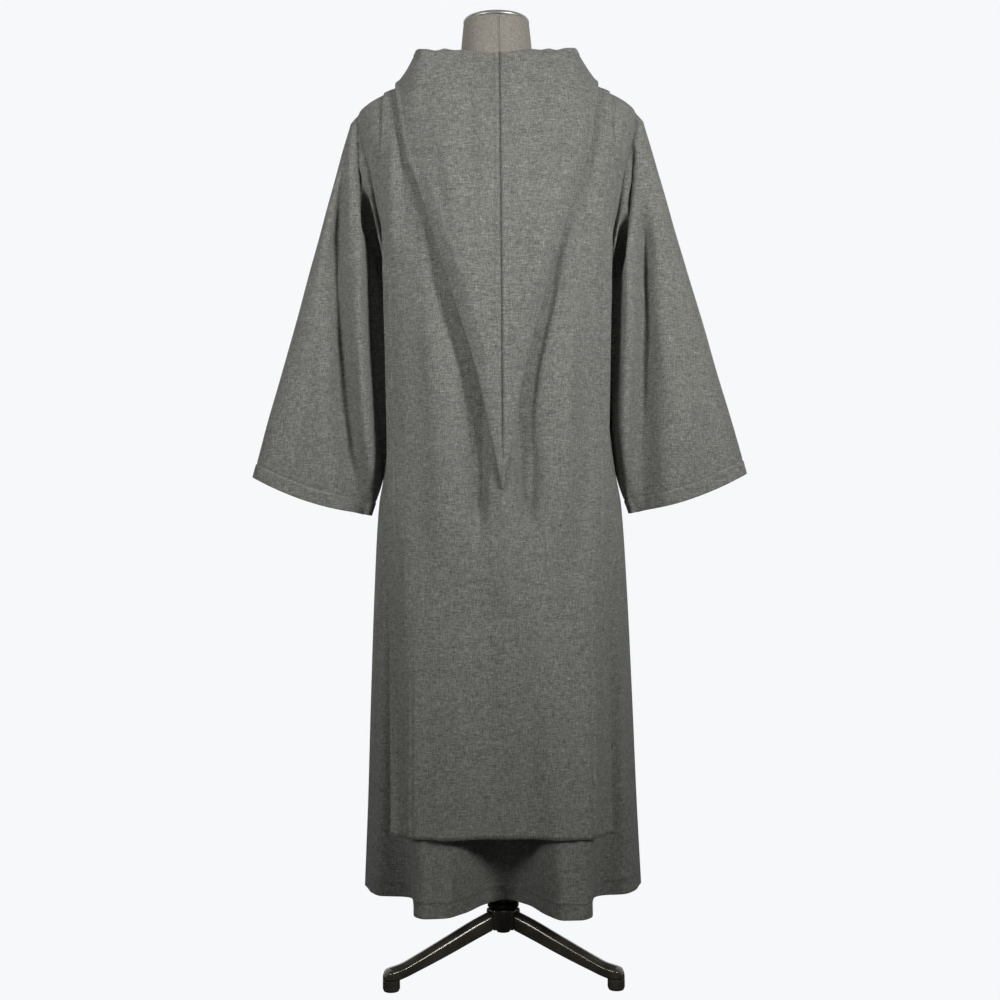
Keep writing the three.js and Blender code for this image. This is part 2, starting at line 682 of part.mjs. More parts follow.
const poleProfile = [[0, hubHighZ + 0.3], [poleRadius, hubHighZ + 0.3], [poleRadius, 831.7], [0, 831.7]];
addPiece('pole', lathe(poleProfile, 20), 0x39362e, 0.3, 1);

const collarProfile = [[14.3, 112.3], [26, 112.3], [28.5, 115], [28.5, 121], [26.5, 124], [20, 125], [14.3, 125], [14.3, 112.3]];
addPiece('hub_collar', lathe(collarProfile, 24), 0x1c1b18, 0.35, 1);

// The hub's plan has a flat toward each leg and a hollow curve between them.
function hubBody() {
  const shape = new THREE.Shape();
  const flat = 28;
  const half = 13;
  for (let n = 0; n < legCount; n += 1) {
    const turn = THREE.MathUtils.degToRad(-90 + 120 * n);
    const next = turn + THREE.MathUtils.degToRad(120);
    const corner = (at, across) => [
      flat * Math.cos(at) - across * Math.sin(at),
      flat * Math.sin(at) + across * Math.cos(at),
    ];
    const from = corner(turn, -half);
    const to = corner(turn, half);
    const far = corner(next, -half);
    const middle = turn + THREE.MathUtils.degToRad(60);
    if (n === 0) shape.moveTo(...from);
    else shape.lineTo(...from);
    shape.lineTo(...to);
    shape.quadraticCurveTo(15 * Math.cos(middle), 15 * Math.sin(middle), ...far);
  }
  shape.closePath();
  const settings = { depth: hubHighZ - hubLowZ, bevelEnabled: false, curveSegments: 8 };
  return new THREE.ExtrudeGeometry(shape, settings).translate(0, 0, hubLowZ);
}
addPiece('hub', hubBody(), 0x39362e, 0.3, 1);

// A leg runs out from the hub and down to its pad: a five-sided bar with a ridge along its top.
const legStations = [
  { out: 28.4, low: 76, high: 108, half: 13 },
  { out: 60, low: 67, high: 97, half: 13 },
  { out: 120, low: 47, high: 73, half: 12.5 },
  { out: 180, low: 29, high: 49, half: 12 },
  { out: 214, low: 19.3, high: 37, half: 12 },
  { out: 228, low: 19.3, high: 34, half: 10.5 },
  { out: 236, low: 19.3, high: 30, half: 7 },
];

function legBody() {
  const rings = legStations.map(({ out, low, high, half }) => [
    new THREE.Vector3(out, -half * 0.8, low),
    new THREE.Vector3(out, half * 0.8, low),
    new THREE.Vector3(out, half, mix(low, high, 0.25)),
    new THREE.Vector3(out, half, mix(low, high, 0.72)),
    new THREE.Vector3(out, half * 0.62, mix(low, high, 0.93)),
    new THREE.Vector3(out, 0, high),
    new THREE.Vector3(out, -half * 0.62, mix(low, high, 0.93)),
    new THREE.Vector3(out, -half, mix(low, high, 0.72)),
    new THREE.Vector3(out, -half, mix(low, high, 0.25)),
  ]);
  return ringBody(rings);
}

const padProfile = [[0, 0], [13, 0], [15, 2], [15, 16], [13, 19], [0, 19]];
for (let n = 0; n < legCount; n += 1) {
  const turn = THREE.MathUtils.degToRad(-90 + 120 * n);
  addPiece(`leg_${n + 1}`, legBody().rotateZ(turn), 0x39362e, 0.3, 1);
  const pad = lathe(padProfile, 16).translate(legReach * Math.cos(turn), legReach * Math.sin(turn), 0);
  addPiece(`foot_pad_${n + 1}`, pad, 0x1a1917, 0.6, 0);
}

export default group;
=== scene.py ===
import math

import bpy
import numpy as np
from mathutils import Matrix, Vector


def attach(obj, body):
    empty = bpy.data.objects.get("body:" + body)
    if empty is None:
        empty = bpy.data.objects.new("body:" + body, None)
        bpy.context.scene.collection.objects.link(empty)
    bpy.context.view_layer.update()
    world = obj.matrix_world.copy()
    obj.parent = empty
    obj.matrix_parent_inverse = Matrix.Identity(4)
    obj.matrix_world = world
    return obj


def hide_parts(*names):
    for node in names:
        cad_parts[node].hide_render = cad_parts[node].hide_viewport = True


# Monk habit on a dress form, dressed over its frame. Lengths below are millimetres, measured from
# the pole's axis on the floor; to_world turns them into the frame's metres. +Y is the wearer's back.
# The camera, the lights and the studio paper are placed in metres. A side of 1 is the back and -1
# the front; a hand of 1 is the wearer's left and -1 the right.
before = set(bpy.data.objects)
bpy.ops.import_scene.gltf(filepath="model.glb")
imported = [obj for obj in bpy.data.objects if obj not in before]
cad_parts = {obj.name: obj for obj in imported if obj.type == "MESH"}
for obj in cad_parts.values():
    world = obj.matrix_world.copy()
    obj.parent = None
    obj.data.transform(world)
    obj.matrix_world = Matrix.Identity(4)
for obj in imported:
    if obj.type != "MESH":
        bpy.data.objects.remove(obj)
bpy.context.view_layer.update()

POLE_Y = 36.0
WALL = 2.0
# How far a layer of cloth stands off the one under it.
STEP = 3.0
SEAM_GAP = 0.3
HEM_Z = 134.0
TUNIC_HEM = 28.0
FOLD_TOP_Z = 1040.0
ARMPIT_Z = 1315.0
SHOULDER_Z = 1555.0
NECKLINE_Z = 1622.0
NECK_HALF = 84.0
# The power of the ovals that the body's level cuts follow: 2 is an ellipse, and more is squarer.
SQUARE = 2.3
ARMHOLE_HALF = 32.0
ARMHOLE_POWER = 2.2
SCAPULAR_HEM_Z = 269.0
HOOD_FOLD = 2.5
HOOD_EASE = 1.5
HOOD_SEAM_X = -5.0
HOOD_SEAM_REACH = 80.0
FINE = 1.0


# ---- camera, at the height of the garment's middle and square to its back ----
SENSOR = 36.0
LENS_PER_WIDTH = 1.428
CAMERA_AWAY = 2.6
CAMERA_HEIGHT = 0.853
CAMERA_ROLL = -0.45


def add_camera():
    data = bpy.data.cameras.new("camera")
    data.sensor_width = SENSOR
    data.lens = SENSOR * LENS_PER_WIDTH
    data.clip_end = 50.0
    camera = bpy.data.objects.new("camera", data)
    bpy.context.collection.objects.link(camera)
    camera.location = (0.0, CAMERA_AWAY + POLE_Y / 1000.0, CAMERA_HEIGHT)
    camera.rotation_euler = (math.radians(90.0), 0.0, math.radians(180.0))
    camera.rotation_euler.rotate_axis("Z", math.radians(CAMERA_ROLL))
    bpy.context.scene.camera = camera


add_camera()


# ---- tables of the forms: each becomes columns by name ----
def table(names, rows):
    return {name: np.array([row[n] for row in rows], float) for n, name in enumerate(names.split())}


TUNIC = table("z half back front", [
    (134, 257, 106, 112), (300, 248, 108, 114), (500, 239, 110, 116), (700, 229, 111, 117),
    (844, 219, 111, 117), (889, 211, 111, 116), (947, 203, 110, 115), (1040, 195, 110, 114),
    (1180, 193, 112, 115), (1300, 202, 114, 117), (1390, 223, 110, 113), (1437, 233, 105, 107),
    (1496, 248, 97, 97), (1530, 253, 91, 90), (1555, 250, 85, 84), (1568, 238, 81, 80),
    (1586, 206, 77, 76), (1600, 165, 75, 74), (1612, 122, 73, 72), (1622, 84, 72, 71),
])
BACK_HEM = table("angle x y", [
    (-90, -257, -75), (-84, -243, -24), (-76, -220, 2), (-64, -186, 8), (-55, -166, 22),
    (-47, -158, 84), (-40, -155, 138), (-34, -134, 162), (-26, -104, 163), (-18, -74, 128),
    (-10, -44, 66), (0, -2, 32), (9, 34, 62), (17, 68, 116), (26, 100, 145), (34, 134, 149),
    (40, 155, 128), (47, 159, 76), (55, 166, 18), (64, 188, 6), (76, 222, 2), (84, 243, -24),
    (90, 257, -75),
])
FRONT_HEM = table("angle x y", [
    (-90, -257, -75), (-80, -247, -122), (-68, -214, -142), (-56, -180, -112), (-45, -146, -138),
    (-33, -108, -164), (-21, -68, -150), (-10, -32, -112), (0, 4, -98), (11, 40, -122),
    (22, 76, -158), (34, 116, -160), (46, 150, -126), (58, 186, -116), (70, 222, -138),
    (81, 249, -118), (90, 257, -75),
])
FOLD_GROWTH = table("z share", [(134, 1), (269, 0.82), (450, 0.56), (650, 0.3), (850, 0.08), (1040, 0)])
HANG_NAMES = "z left right edge middle lobe"
HANG_BACK = table(HANG_NAMES, [
    (269, 193, 190, 108, 142, 16), (420, 194, 189, 86, 140, 10), (640, 195, 188, 62, 138, 4),
    (853, 197, 190, 50, 137, 0), (1100, 200, 196, 48, 132, 0), (1300, 204, 201, 50, 125, 0),
    (1450, 205, 204, 40, 100, 0), (1600, 200, 200, 0, 60, 0),
])
HANG_FRONT = table(HANG_NAMES, [
    (269, 193, 190, 104, 146, 14), (420, 194, 189, 84, 144, 9), (640, 195, 188, 64, 140, 4),
    (853, 197, 190, 54, 136, 0), (1100, 200, 196, 52, 130, 0), (1300, 204, 201, 50, 126, 0),
    (1450, 205, 204, 40, 100, 0), (1600, 200, 200, 0, 60, 0),
])
SLEEVE = table("along topX topZ underX underZ depth", [
    (0.05, 265, 1538, 209, 1297, 40), (0.25, 304, 1403, 206, 1190, 52),
    (0.5, 353, 1235, 206, 1068, 57), (0.75, 401, 1066, 210, 947, 57),
    (0.88, 427, 979, 220, 886, 54), (1, 450, 898, 237, 827, 48),
])
HOOD = table("turn neckX foldX foldDrop edgeX edgeDrop lift rise", [
    (0, 0, 0, 747, 0, 0, 26, 13), (5, 8, 10, 696, 12, 0, 26, 12), (11, 17, 22, 630, 27, 1, 26, 10),
    (18, 27, 42, 534, 43, 2, 26, 7.5), (27, 39, 72, 424, 62, 6, 27, 8),
    (37, 52, 103, 311, 82, 13, 30, 15), (48, 64, 131, 214, 100, 18, 33, 22),
    (59, 74, 155, 138, 114, 18, 37, 25), (70, 80, 166, 74, 124, 13, 40, 18),
    (77, 83, 172, 34, 129, 7, 41, 9), (82, 84.5, 174, 13, 130, 3, 42, 6),
    (85, 85, 175, 4.5, 130.5, 1.2, 42, 4), (88, 85.5, 175.5, 1, 130.5, 0.3, 42, 2),
    (90, 86, 175.5, 0, 130.5, 0, 42, 1), (92, 85.5, 175.5, 1, 130.5, 0.3, 42, 0),
    (95, 85, 174.5, 4.5, 129.5, 1.2, 41, 0), (98, 84.5, 173, 13, 128, 3, 40, 1),
    (104, 82, 170, 34, 123, 7, 38, 2), (120, 73, 148, 62, 100, 14, 32, 4),
    (138, 54, 104, 88, 68, 18, 28, 4), (160, 25, 48, 104, 31, 22, 25, 2),
    (180, 0, 0, 108, 0, 24, 24, 0),
])


# ---- numbers ----
def read(rows, key, at, column):
    """A smooth curve without overshoot through a table's column, at any array of places."""
    xs = rows[key]
    ys = rows[column]
    slope = np.diff(ys) / np.diff(xs)
    tangent = np.empty_like(ys)
    tangent[0] = slope[0]
    tangent[-1] = slope[-1]
    before = slope[:-1]
    after = slope[1:]
    product = before * after
    total = np.where(product > 0, before + after, 1.0)
    tangent[1:-1] = np.where(product > 0, 2 * product / total, 0.0)
    at = np.clip(np.asarray(at, float), xs[0], xs[-1])
    row = np.clip(np.searchsorted(xs, at, side="right") - 1, 0, len(xs) - 2)
    span = xs[row + 1] - xs[row]
    s = (at - xs[row]) / span
    return ((2 * s**3 - 3 * s**2 + 1) * ys[row] + (s**3 - 2 * s**2 + s) * span * tangent[row]
            + (3 * s**2 - 2 * s**3) * ys[row + 1] + (s**3 - s**2) * span * tangent[row + 1])


def ease(low, high, value):
    """Rises softly from 0 at low to 1 at high."""
    s = np.clip((np.asarray(value, float) - low) / (high - low), 0, 1)
    return s * s * (3 - 2 * s)


def mix(a, b, share):
    return a + (b - a) * share


def bell(distance, width):
    return np.exp(-((distance / width) ** 2))


def power(value, exponent):
    return np.sign(value) * np.abs(value) ** exponent


def unit(vectors):
    return vectors / np.maximum(np.linalg.norm(vectors, axis=-1, keepdims=True), 1e-9)


def grid_normals(points, wrapped=False):
    """Directions square to a grid of points."""
    if wrapped:
        across = np.roll(points, -1, axis=1) - np.roll(points, 1, axis=1)
    else:
        across = np.gradient(points, axis=1)
    return unit(np.cross(across, np.gradient(points, axis=0)))


def path_distance(x, z, path):
    """Distance of each place to a line of points, and how far along the line it is, from 0 to 1."""
    best = np.full(np.broadcast(x, z).shape, 1e9)
    where = np.zeros_like(best)
    points = np.array(path, float)
    lengths = np.linalg.norm(np.diff(points, axis=0), axis=1)
    total = lengths.sum()
    run = 0.0
    for (x0, z0), (x1, z1), length in zip(points[:-1], points[1:], lengths):
        t = np.clip(((x - x0) * (x1 - x0) + (z - z0) * (z1 - z0)) / length**2, 0, 1)
        away = np.hypot(x - mix(x0, x1, t), z - mix(z0, z1, t))
        closer = away < best
        best = np.where(closer, away, best)
        where = np.where(closer, (run + t * length) / total, where)
        run += length
    return best, where


def creases(x, z, rows):
    """The sum of soft troughs (negative height) and ridges: (height, width, path) in millimetres."""
    total = np.zeros(np.broadcast(x, z).shape)
    for height, width, path in rows:
        away, along = path_distance(x, z, path)
        fade = ease(0, 0.22, along) * ease(0, 0.3, 1 - along)
        total = total + height * fade * bell(away, width * mix(0.75, 1.2, along))
    return total


def ripple(x, z, seed):
    """Slight unevenness of hanging cloth, a millimetre or so, longer upright than across."""
    total = 0.0
    for n, (size, height) in enumerate(((160, 1.1), (90, 0.7), (47, 0.35))):
        phase = seed * 1.7 + n * 2.3
        wave = np.sin(x / size * 6.28 + phase + 0.8 * np.sin(z / (size * 2.1) + phase))
        total = total + height * wave * np.sin(z / (size * 1.4) + 1.3 * phase + x / (size * 3.0))
    return total


# ---- tunic surface ----
def section(z, side):
    """Half the tunic's width and its depth at a height, above its folds."""
    return read(TUNIC, "z", z, "half"), read(TUNIC, "z", z, "back" if side > 0 else "front")


def oval(angle, half, depth, side):
    x = half * power(np.sin(angle), 2 / SQUARE)
    y = side * depth * power(np.maximum(0, np.cos(angle)), 2 / SQUARE)
    return x, y


def tunic_point(angle, z, side):
    """A point of the tunic's outside: an oval near the shoulders that grows into folds at the hem."""
    angle, z = np.broadcast_arrays(angle, z)
    x, y = oval(angle, *section(z, side), side)
    share = read(FOLD_GROWTH, "z", z, "share")
    hem = BACK_HEM if side > 0 else FRONT_HEM
    plain_x, plain_y = oval(angle, *section(HEM_Z, side), side)
    x = x + share * (read(hem, "angle", np.degrees(angle), "x") - plain_x)
    y = y + share * (read(hem, "angle", np.degrees(angle), "y") - plain_y)
    return np.stack([x, y, z], axis=-1)


def oval_normal(x, y, z, side):
    half, depth = section(z, side)
    half_up, depth_up = section(z + 1, side)
    half_down, depth_down = section(z - 1, side)
    x_share = (np.abs(x) / half) ** SQUARE
    y_share = (np.abs(y) / depth) ** SQUARE
    rise = -x_share * (half_up - half_down) / 2 / half - y_share * (depth_up - depth_down) / 2 / depth
    return unit(np.stack([
        np.sign(x) * (np.abs(x) / half) ** (SQUARE - 1) / half,
        side * (np.abs(y) / depth) ** (SQUARE - 1) / depth,
        rise,
    ], axis=-1))


def armhole_depth(z):
    """How far an armhole is cut into a panel at a height; 0 above and below it."""
    reach = np.abs((z - (ARMPIT_Z + SHOULDER_Z) / 2) / ((SHOULDER_Z - ARMPIT_Z) / 2))
    return ARMHOLE_HALF * np.maximum(0, 1 - reach**ARMHOLE_POWER) ** (1 / ARMHOLE_POWER)


def last_angle(z, side):
    """The angle at which a panel ends, at its side seam or its armhole."""
    return np.arccos((armhole_depth(z) / section(z, side)[1]) ** (SQUARE / 2))


def ridge_height(x):
    """The height of the shoulder ridge at x."""
    heights = np.linspace(SHOULDER_Z, NECKLINE_Z, 400)
    widths = read(TUNIC, "z", heights, "half")
    found = np.interp(-np.abs(x), -widths, heights)
    return np.where(np.abs(x) <= NECK_HALF, NECKLINE_Z, found)


# The tunic's folded depth is worked out once on a grid of x and z for the layers that lie on it.
DEPTH_X = np.linspace(-240, 240, 97)
DEPTH_Z = np.linspace(120, FOLD_TOP_Z, 93)


def folded_depths(side):
    angles = np.radians(np.arange(-90, 90.1, 2.5))
    found = np.empty((len(DEPTH_Z), len(DEPTH_X)))
    for n, z in enumerate(DEPTH_Z):
        points = tunic_point(angles, np.full_like(angles, z), side)
        reach = 9 * ease(FOLD_TOP_Z, FOLD_TOP_Z - 200, z)
        away = np.maximum(0, np.abs(points[None, :, 0] - DEPTH_X[:, None]) - reach)
        found[n] = np.maximum(-60, (side * points[None, :, 1] - 0.09 * away**2).max(axis=1))
    return found


FOLDED = {side: folded_depths(side) for side in (1, -1)}


def tunic_depth(x, z, side):
    """How far the tunic reaches to the back or the front, its folds bridged."""
    half, depth = section(z, side)
    share = np.minimum(1, np.abs(x) / half) ** SQUARE
    smooth = depth * (1 - share) ** (1 / SQUARE)
    column = np.clip((x - DEPTH_X[0]) / (DEPTH_X[1] - DEPTH_X[0]), 0, len(DEPTH_X) - 1.001)
    row = np.clip((z - DEPTH_Z[0]) / (DEPTH_Z[1] - DEPTH_Z[0]), 0, len(DEPTH_Z) - 1.001)
    c = column.astype(int)
    r = row.astype(int)
    u = column - c
    v = row - r
    grid = FOLDED[side]
    low = mix(grid[r, c], grid[r, c + 1], u)
    high = mix(grid[r + 1, c], grid[r + 1, c + 1], u)
    return np.where(z >= FOLD_TOP_Z, smooth, mix(low, high, v))


def hang_half(x, z, side):
    """Half the scapular's width, on the side on which x lies."""
    rows = HANG_BACK if side > 0 else HANG_FRONT
    return np.where(x > 0, read(rows, "z", z, "left"), read(rows, "z", z, "right"))


def hang_depth(x, z, side):
    """How far out the scapular hangs by itself."""
    rows = HANG_BACK if side > 0 else HANG_FRONT
    reach = np.minimum(1.05, np.abs(x) / hang_half(x, z, side))
    edge = read(rows, "z", z, "edge")
    middle = read(rows, "z", z, "middle")
    return mix(middle, edge, reach**2.6) + read(rows, "z", z, "lobe") * bell(reach - 0.55, 0.22)


def layer_depth(x, z, side):
    """The depth on which the scapular and the hood lie: the tunic, or the hang where that is farther out."""
    tunic = tunic_depth(x, z, side)
    push = 5 * np.logaddexp(0, (hang_depth(x, z, side) - STEP - tunic) / 5)
    return tunic + push * (1 - ease(1400, 1500, z))


def layer_point(x, drop, side, lift):
    """A point over the tunic at x, a drop below the shoulder ridge, lifted off the tunic's cloth."""
    x, drop = np.broadcast_arrays(np.asarray(x, float), np.asarray(drop, float))
    z = ridge_height(x) - drop
    y = layer_depth(x, z, side)
    across = (layer_depth(x + 4, z, side) - layer_depth(x - 4, z, side)) / 8
    up = (layer_depth(x, z + 4, side) - layer_depth(x, z - 4, side)) / 8
    loose = unit(np.stack([-np.clip(across, -2, 2), np.full_like(across, side), -up], axis=-1))
    settled = ease(1440, 1500, z)[..., None]
    normal = unit(loose * (1 - settled) + oval_normal(x, y, z, side) * settled)
    return np.stack([x, side * y, z], axis=-1) + normal * np.asarray(lift)[..., None]


# ---- meshes ----
def to_world(points):
    return (np.asarray(points, float).reshape(-1, 3) + (0, POLE_Y, 0)) / 1000.0


def link(name, mesh, material):
    obj = bpy.data.objects.new(name, mesh)
    bpy.context.collection.objects.link(obj)
    mesh.materials.append(material)
    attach(obj, "root")
    return obj


def grid_mesh(name, points, material, wrapped=False):
    rows, columns = points.shape[:2]
    across = columns if wrapped else columns - 1
    r, c = np.meshgrid(np.arange(rows - 1), np.arange(across), indexing="ij")
    step = (c + 1) % columns
    low = r * columns
    high = low + columns
    faces = np.stack([low + c, low + step, high + step, high + c], -1)
    mesh = bpy.data.meshes.new(name)
    mesh.from_pydata(to_world(points).tolist(), [], faces.reshape(-1, 4).tolist())
    mesh.shade_smooth()
    return link(name, mesh, material)


def cloth(name, points, material, node, wrapped=False, thickness=WALL):
    """A shell of cloth about a grid of its outer points; its wall goes inward."""
    obj = grid_mesh(name, points, material, wrapped)
    solid = obj.modifiers.new("thickness", "SOLIDIFY")
    solid.thickness = thickness / 1000.0
    solid.offset = 0.0
    solid.use_rim = True
    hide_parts(node)
    return obj


def count(number):
    return max(8, int(number * FINE))


# ---- materials ----
def linear(text):
    """A linear colour from an sRGB hex value."""
    parts = [int(text[n:n + 2], 16) / 255 for n in (1, 3, 5)]
    return [p / 12.92 if p <= 0.04045 else ((p + 0.055) / 1.055) ** 2.4 for p in parts] + [1.0]


def new_material(name, **values):
    material = bpy.data.materials.new(name)
    material.use_nodes = True
    nodes = material.node_tree
    shader = nodes.nodes["Principled BSDF"]
    for key, value in values.items():
        shader.inputs[key.replace("_", " ")].default_value = value
    return nodes, shader, material


def add(nodes, kind, settings=None, stops=(), **inputs):
    """Adds a node with its settings and colour stops, and sets or links its inputs."""
    node = nodes.nodes.new(kind)
    for key, value in (settings or {}).items():
        setattr(node, key, value)
    elements = node.color_ramp.elements if stops else []
    while len(elements) < len(stops):
        elements.new(0.5)
    for element, (place, colour) in zip(elements, stops):
        element.position = place
        element.color = linear(colour) if isinstance(colour, str) else (colour, colour, colour, 1)
    for key, value in inputs.items():
        socket = node.inputs[int(key[2:])] if key.startswith("n_") else node.inputs[key.replace("_", " ")]
        if isinstance(value, bpy.types.NodeSocket):
            nodes.links.new(value, socket)
        else:
            socket.default_value = value
    return node


def grains(size):
    """The scale at which a noise's grains are this many millimetres across."""
    return 1000.0 / size


def bands(pitch, phase=20):
    """The scale at which a wave's bands are this many millimetres apart.

    The wave's phase turns 20 radians in a unit of length, and 10 where it is diagonal.
    """
    return 2 * math.pi / phase * 1000.0 / pitch


# Noise drawn out six times across or upright, as weft and warp are.
DRAWN_ACROSS = (1.0, 1.0, 6.0)
DRAWN_UPRIGHT = (6.0, 6.0, 1.0)
# Wool: 9 slubs in 100 mm of yarn, and streaks of uneven dye. A real thread is about 0.7 mm and a
# fleck about 1 mm, too fine to show, so the threads lie 1.2 mm apart and there are 56 flecks in 100 mm.
WOOL_SLUB = 100 / 9
WOOL_FLECK = 100 / 56
WOOL_STREAK = 62.5
WOOL_THREAD = 1.2083
# One turn of the sewing thread's two plies.
PLY_TURN = 0.6981
# Linen: 17 slubs in 100 mm, about twice as coarse as real ones, which would not show.
LINEN_SLUB = 100 / 17
# Metal: stains of 26 mm and scuffs of 3 mm. Rubber: specks of dust of 8 mm, gathered so that they show.
METAL_STAIN = 500 / 19
METAL_SCUFF = 50 / 17
RUBBER_DUST = 25 / 3


def wool_material():
    """Wool: grey fibres of several shades spun together, plain woven and lightly fulled.

    It shows as a matt, flecked grey with a faint bloom where it turns away.
    """
    nodes, shader, material = new_material("wool_heather_grey", Roughness=0.92)
    shader.inputs["Specular IOR Level"].default_value = 0.2
    shader.inputs["Sheen Weight"].default_value = 0.1
    shader.inputs["Sheen Roughness"].default_value = 0.5
    place = add(nodes, "ShaderNodeTexCoord").outputs["Object"]
    across = add(nodes, "ShaderNodeMapping", Vector=place, Scale=DRAWN_ACROSS).outputs["Vector"]
    upright = add(nodes, "ShaderNodeMapping", Vector=place, Scale=DRAWN_UPRIGHT).outputs["Vector"]
    weft, warp = (add(nodes, "ShaderNodeTexNoise", Vector=way, Scale=grains(WOOL_SLUB), Detail=3.0,
                      Roughness=0.6).outputs["Fac"] for way in (across, upright))
    fleck = add(nodes, "ShaderNodeTexNoise", Vector=place, Scale=grains(WOOL_FLECK), Detail=3.0,
                Roughness=0.75)
    streak = add(nodes, "ShaderNodeTexNoise", Vector=across, Scale=grains(WOOL_STREAK), Detail=2.0)
    woven = add(nodes, "ShaderNodeMix", {"data_type": "FLOAT"}, n_0=0.46, n_2=weft, n_3=warp)
    fibres = add(nodes, "ShaderNodeMix", {"data_type": "FLOAT"}, n_0=0.42, n_2=woven.outputs[0],
                 n_3=fleck.outputs["Fac"])
    shade = add(nodes, "ShaderNodeValToRGB", Fac=fibres.outputs[0],
                stops=[(0.38, "#4c4c48"), (0.47, "#6a6a65"), (0.54, "#7c7c77"), (0.63, "#9d9d98")])
    drift = add(nodes, "ShaderNodeValToRGB", Fac=streak.outputs["Fac"], stops=[(0.3, 0.9), (0.7, 1.0)])
    tone = add(nodes, "ShaderNodeMix", {"data_type": "RGBA", "blend_type": "MULTIPLY"}, n_0=1.0,
               n_6=shade.outputs["Color"], n_7=drift.outputs["Color"])
    nodes.links.new(tone.outputs[2], shader.inputs["Base Color"])
    upright_threads, level_threads = (
        add(nodes, "ShaderNodeTexWave", {"bands_direction": axis}, Vector=place, Scale=bands(WOOL_THREAD),
            Distortion=6.0, Detail=2.0, Detail_Scale=3.0).outputs["Fac"] for axis in "XZ")
    weave = add(nodes, "ShaderNodeMath", {"operation": "MULTIPLY"}, n_0=upright_threads, n_1=level_threads)
    fine_bump = add(nodes, "ShaderNodeBump", Strength=0.35, Distance=0.0005, Height=weave.outputs[0])
    nap = add(nodes, "ShaderNodeBump", Strength=0.5, Distance=0.0008, Height=fibres.outputs[0],
              Normal=fine_bump.outputs["Normal"])
    nodes.links.new(nap.outputs["Normal"], shader.inputs["Normal"])
    return material


def thread_material():
    """Cotton sewing thread, two-ply, dyed grey: a fine rope, a little glossier than the wool."""
    nodes, shader, material = new_material("cotton_thread_grey", Roughness=0.7)
    shader.inputs["Base Color"].default_value = linear("#6a6a66")
    place = add(nodes, "ShaderNodeTexCoord").outputs["Object"]
    twist = add(nodes, "ShaderNodeTexWave", {"bands_direction": "DIAGONAL"}, Vector=place,
                Scale=bands(PLY_TURN, phase=10))
    bump = add(nodes, "ShaderNodeBump", Strength=0.4, Distance=0.0002, Height=twist.outputs["Fac"])
    nodes.links.new(bump.outputs["Normal"], shader.inputs["Normal"])
    return material


def linen_material():
    """Linen: unbleached flax, plain woven, stretched and glued over the form: matt, with slubs both ways."""
    nodes, shader, material = new_material("linen_unbleached", Roughness=0.88)
    shader.inputs["Sheen Weight"].default_value = 0.12
    place = add(nodes, "ShaderNodeTexCoord").outputs["Object"]
    around = add(nodes, "ShaderNodeMapping", Vector=place, Scale=DRAWN_ACROSS).outputs["Vector"]
    along = add(nodes, "ShaderNodeMapping", Vector=place, Scale=DRAWN_UPRIGHT).outputs["Vector"]
    weft, warp = (add(nodes, "ShaderNodeTexNoise", Vector=way, Scale=grains(LINEN_SLUB),
                      Detail=3.0).outputs["Fac"] for way in (around, along))
    both = add(nodes, "ShaderNodeMix", {"data_type": "FLOAT"}, n_0=0.5, n_2=weft, n_3=warp)
    shade = add(nodes, "ShaderNodeValToRGB", Fac=both.outputs[0],
                stops=[(0.34, "#706b62"), (0.5, "#847f76"), (0.66, "#98938a")])
    nodes.links.new(shade.outputs["Color"], shader.inputs["Base Color"])
    bump = add(nodes, "ShaderNodeBump", Strength=0.4, Distance=0.0006, Height=both.outputs[0])
    nodes.links.new(bump.outputs["Normal"], shader.inputs["Normal"])
    return material


def metal_material(name, colours, roughness, coat, metallic):
    """Metal, plated, spun or blackened: faint stains in its colour, and fine scuffs that vary its gloss."""
    nodes, shader, material = new_material(name, Metallic=metallic)
    shader.inputs["Coat Weight"].default_value = coat
    shader.inputs["Coat Roughness"].default_value = 0.12
    place = add(nodes, "ShaderNodeTexCoord").outputs["Object"]
    stain = add(nodes, "ShaderNodeTexNoise", Vector=place, Scale=grains(METAL_STAIN), Detail=5.0)
    scuff = add(nodes, "ShaderNodeTexNoise", Vector=place, Scale=grains(METAL_SCUFF), Detail=2.0)
    shade = add(nodes, "ShaderNodeValToRGB", Fac=stain.outputs["Fac"],
                stops=[(0.35, colours[0]), (0.65, colours[1])])
    nodes.links.new(shade.outputs["Color"], shader.inputs["Base Color"])
    gloss = add(nodes, "ShaderNodeValToRGB", Fac=scuff.outputs["Fac"],
                stops=[(0.3, roughness * 0.8), (0.7, roughness * 1.3)])
    nodes.links.new(gloss.outputs["Color"], shader.inputs["Roughness"])
    bump = add(nodes, "ShaderNodeBump", Strength=0.08, Distance=0.0004, Height=scuff.outputs["Fac"])
    nodes.links.new(bump.outputs["Normal"], shader.inputs["Normal"])
    return material


def rubber_material():
    """Rubber: moulded, matt and slightly dusty."""
    nodes, shader, material = new_material("rubber_moulded_black", Roughness=0.7)
    place = add(nodes, "ShaderNodeTexCoord").outputs["Object"]
    dust = add(nodes, "ShaderNodeTexNoise", Vector=place, Scale=grains(RUBBER_DUST), Detail=4.0)
    shade = add(nodes, "ShaderNodeValToRGB", Fac=dust.outputs["Fac"],
                stops=[(0.3, "#1b1a18"), (0.7, "#2c2a27")])
    nodes.links.new(shade.outputs["Color"], shader.inputs["Base Color"])
    bump = add(nodes, "ShaderNodeBump", Strength=0.2, Distance=0.0004, Height=dust.outputs["Fac"])
    nodes.links.new(bump.outputs["Normal"], shader.inputs["Normal"])
    return material


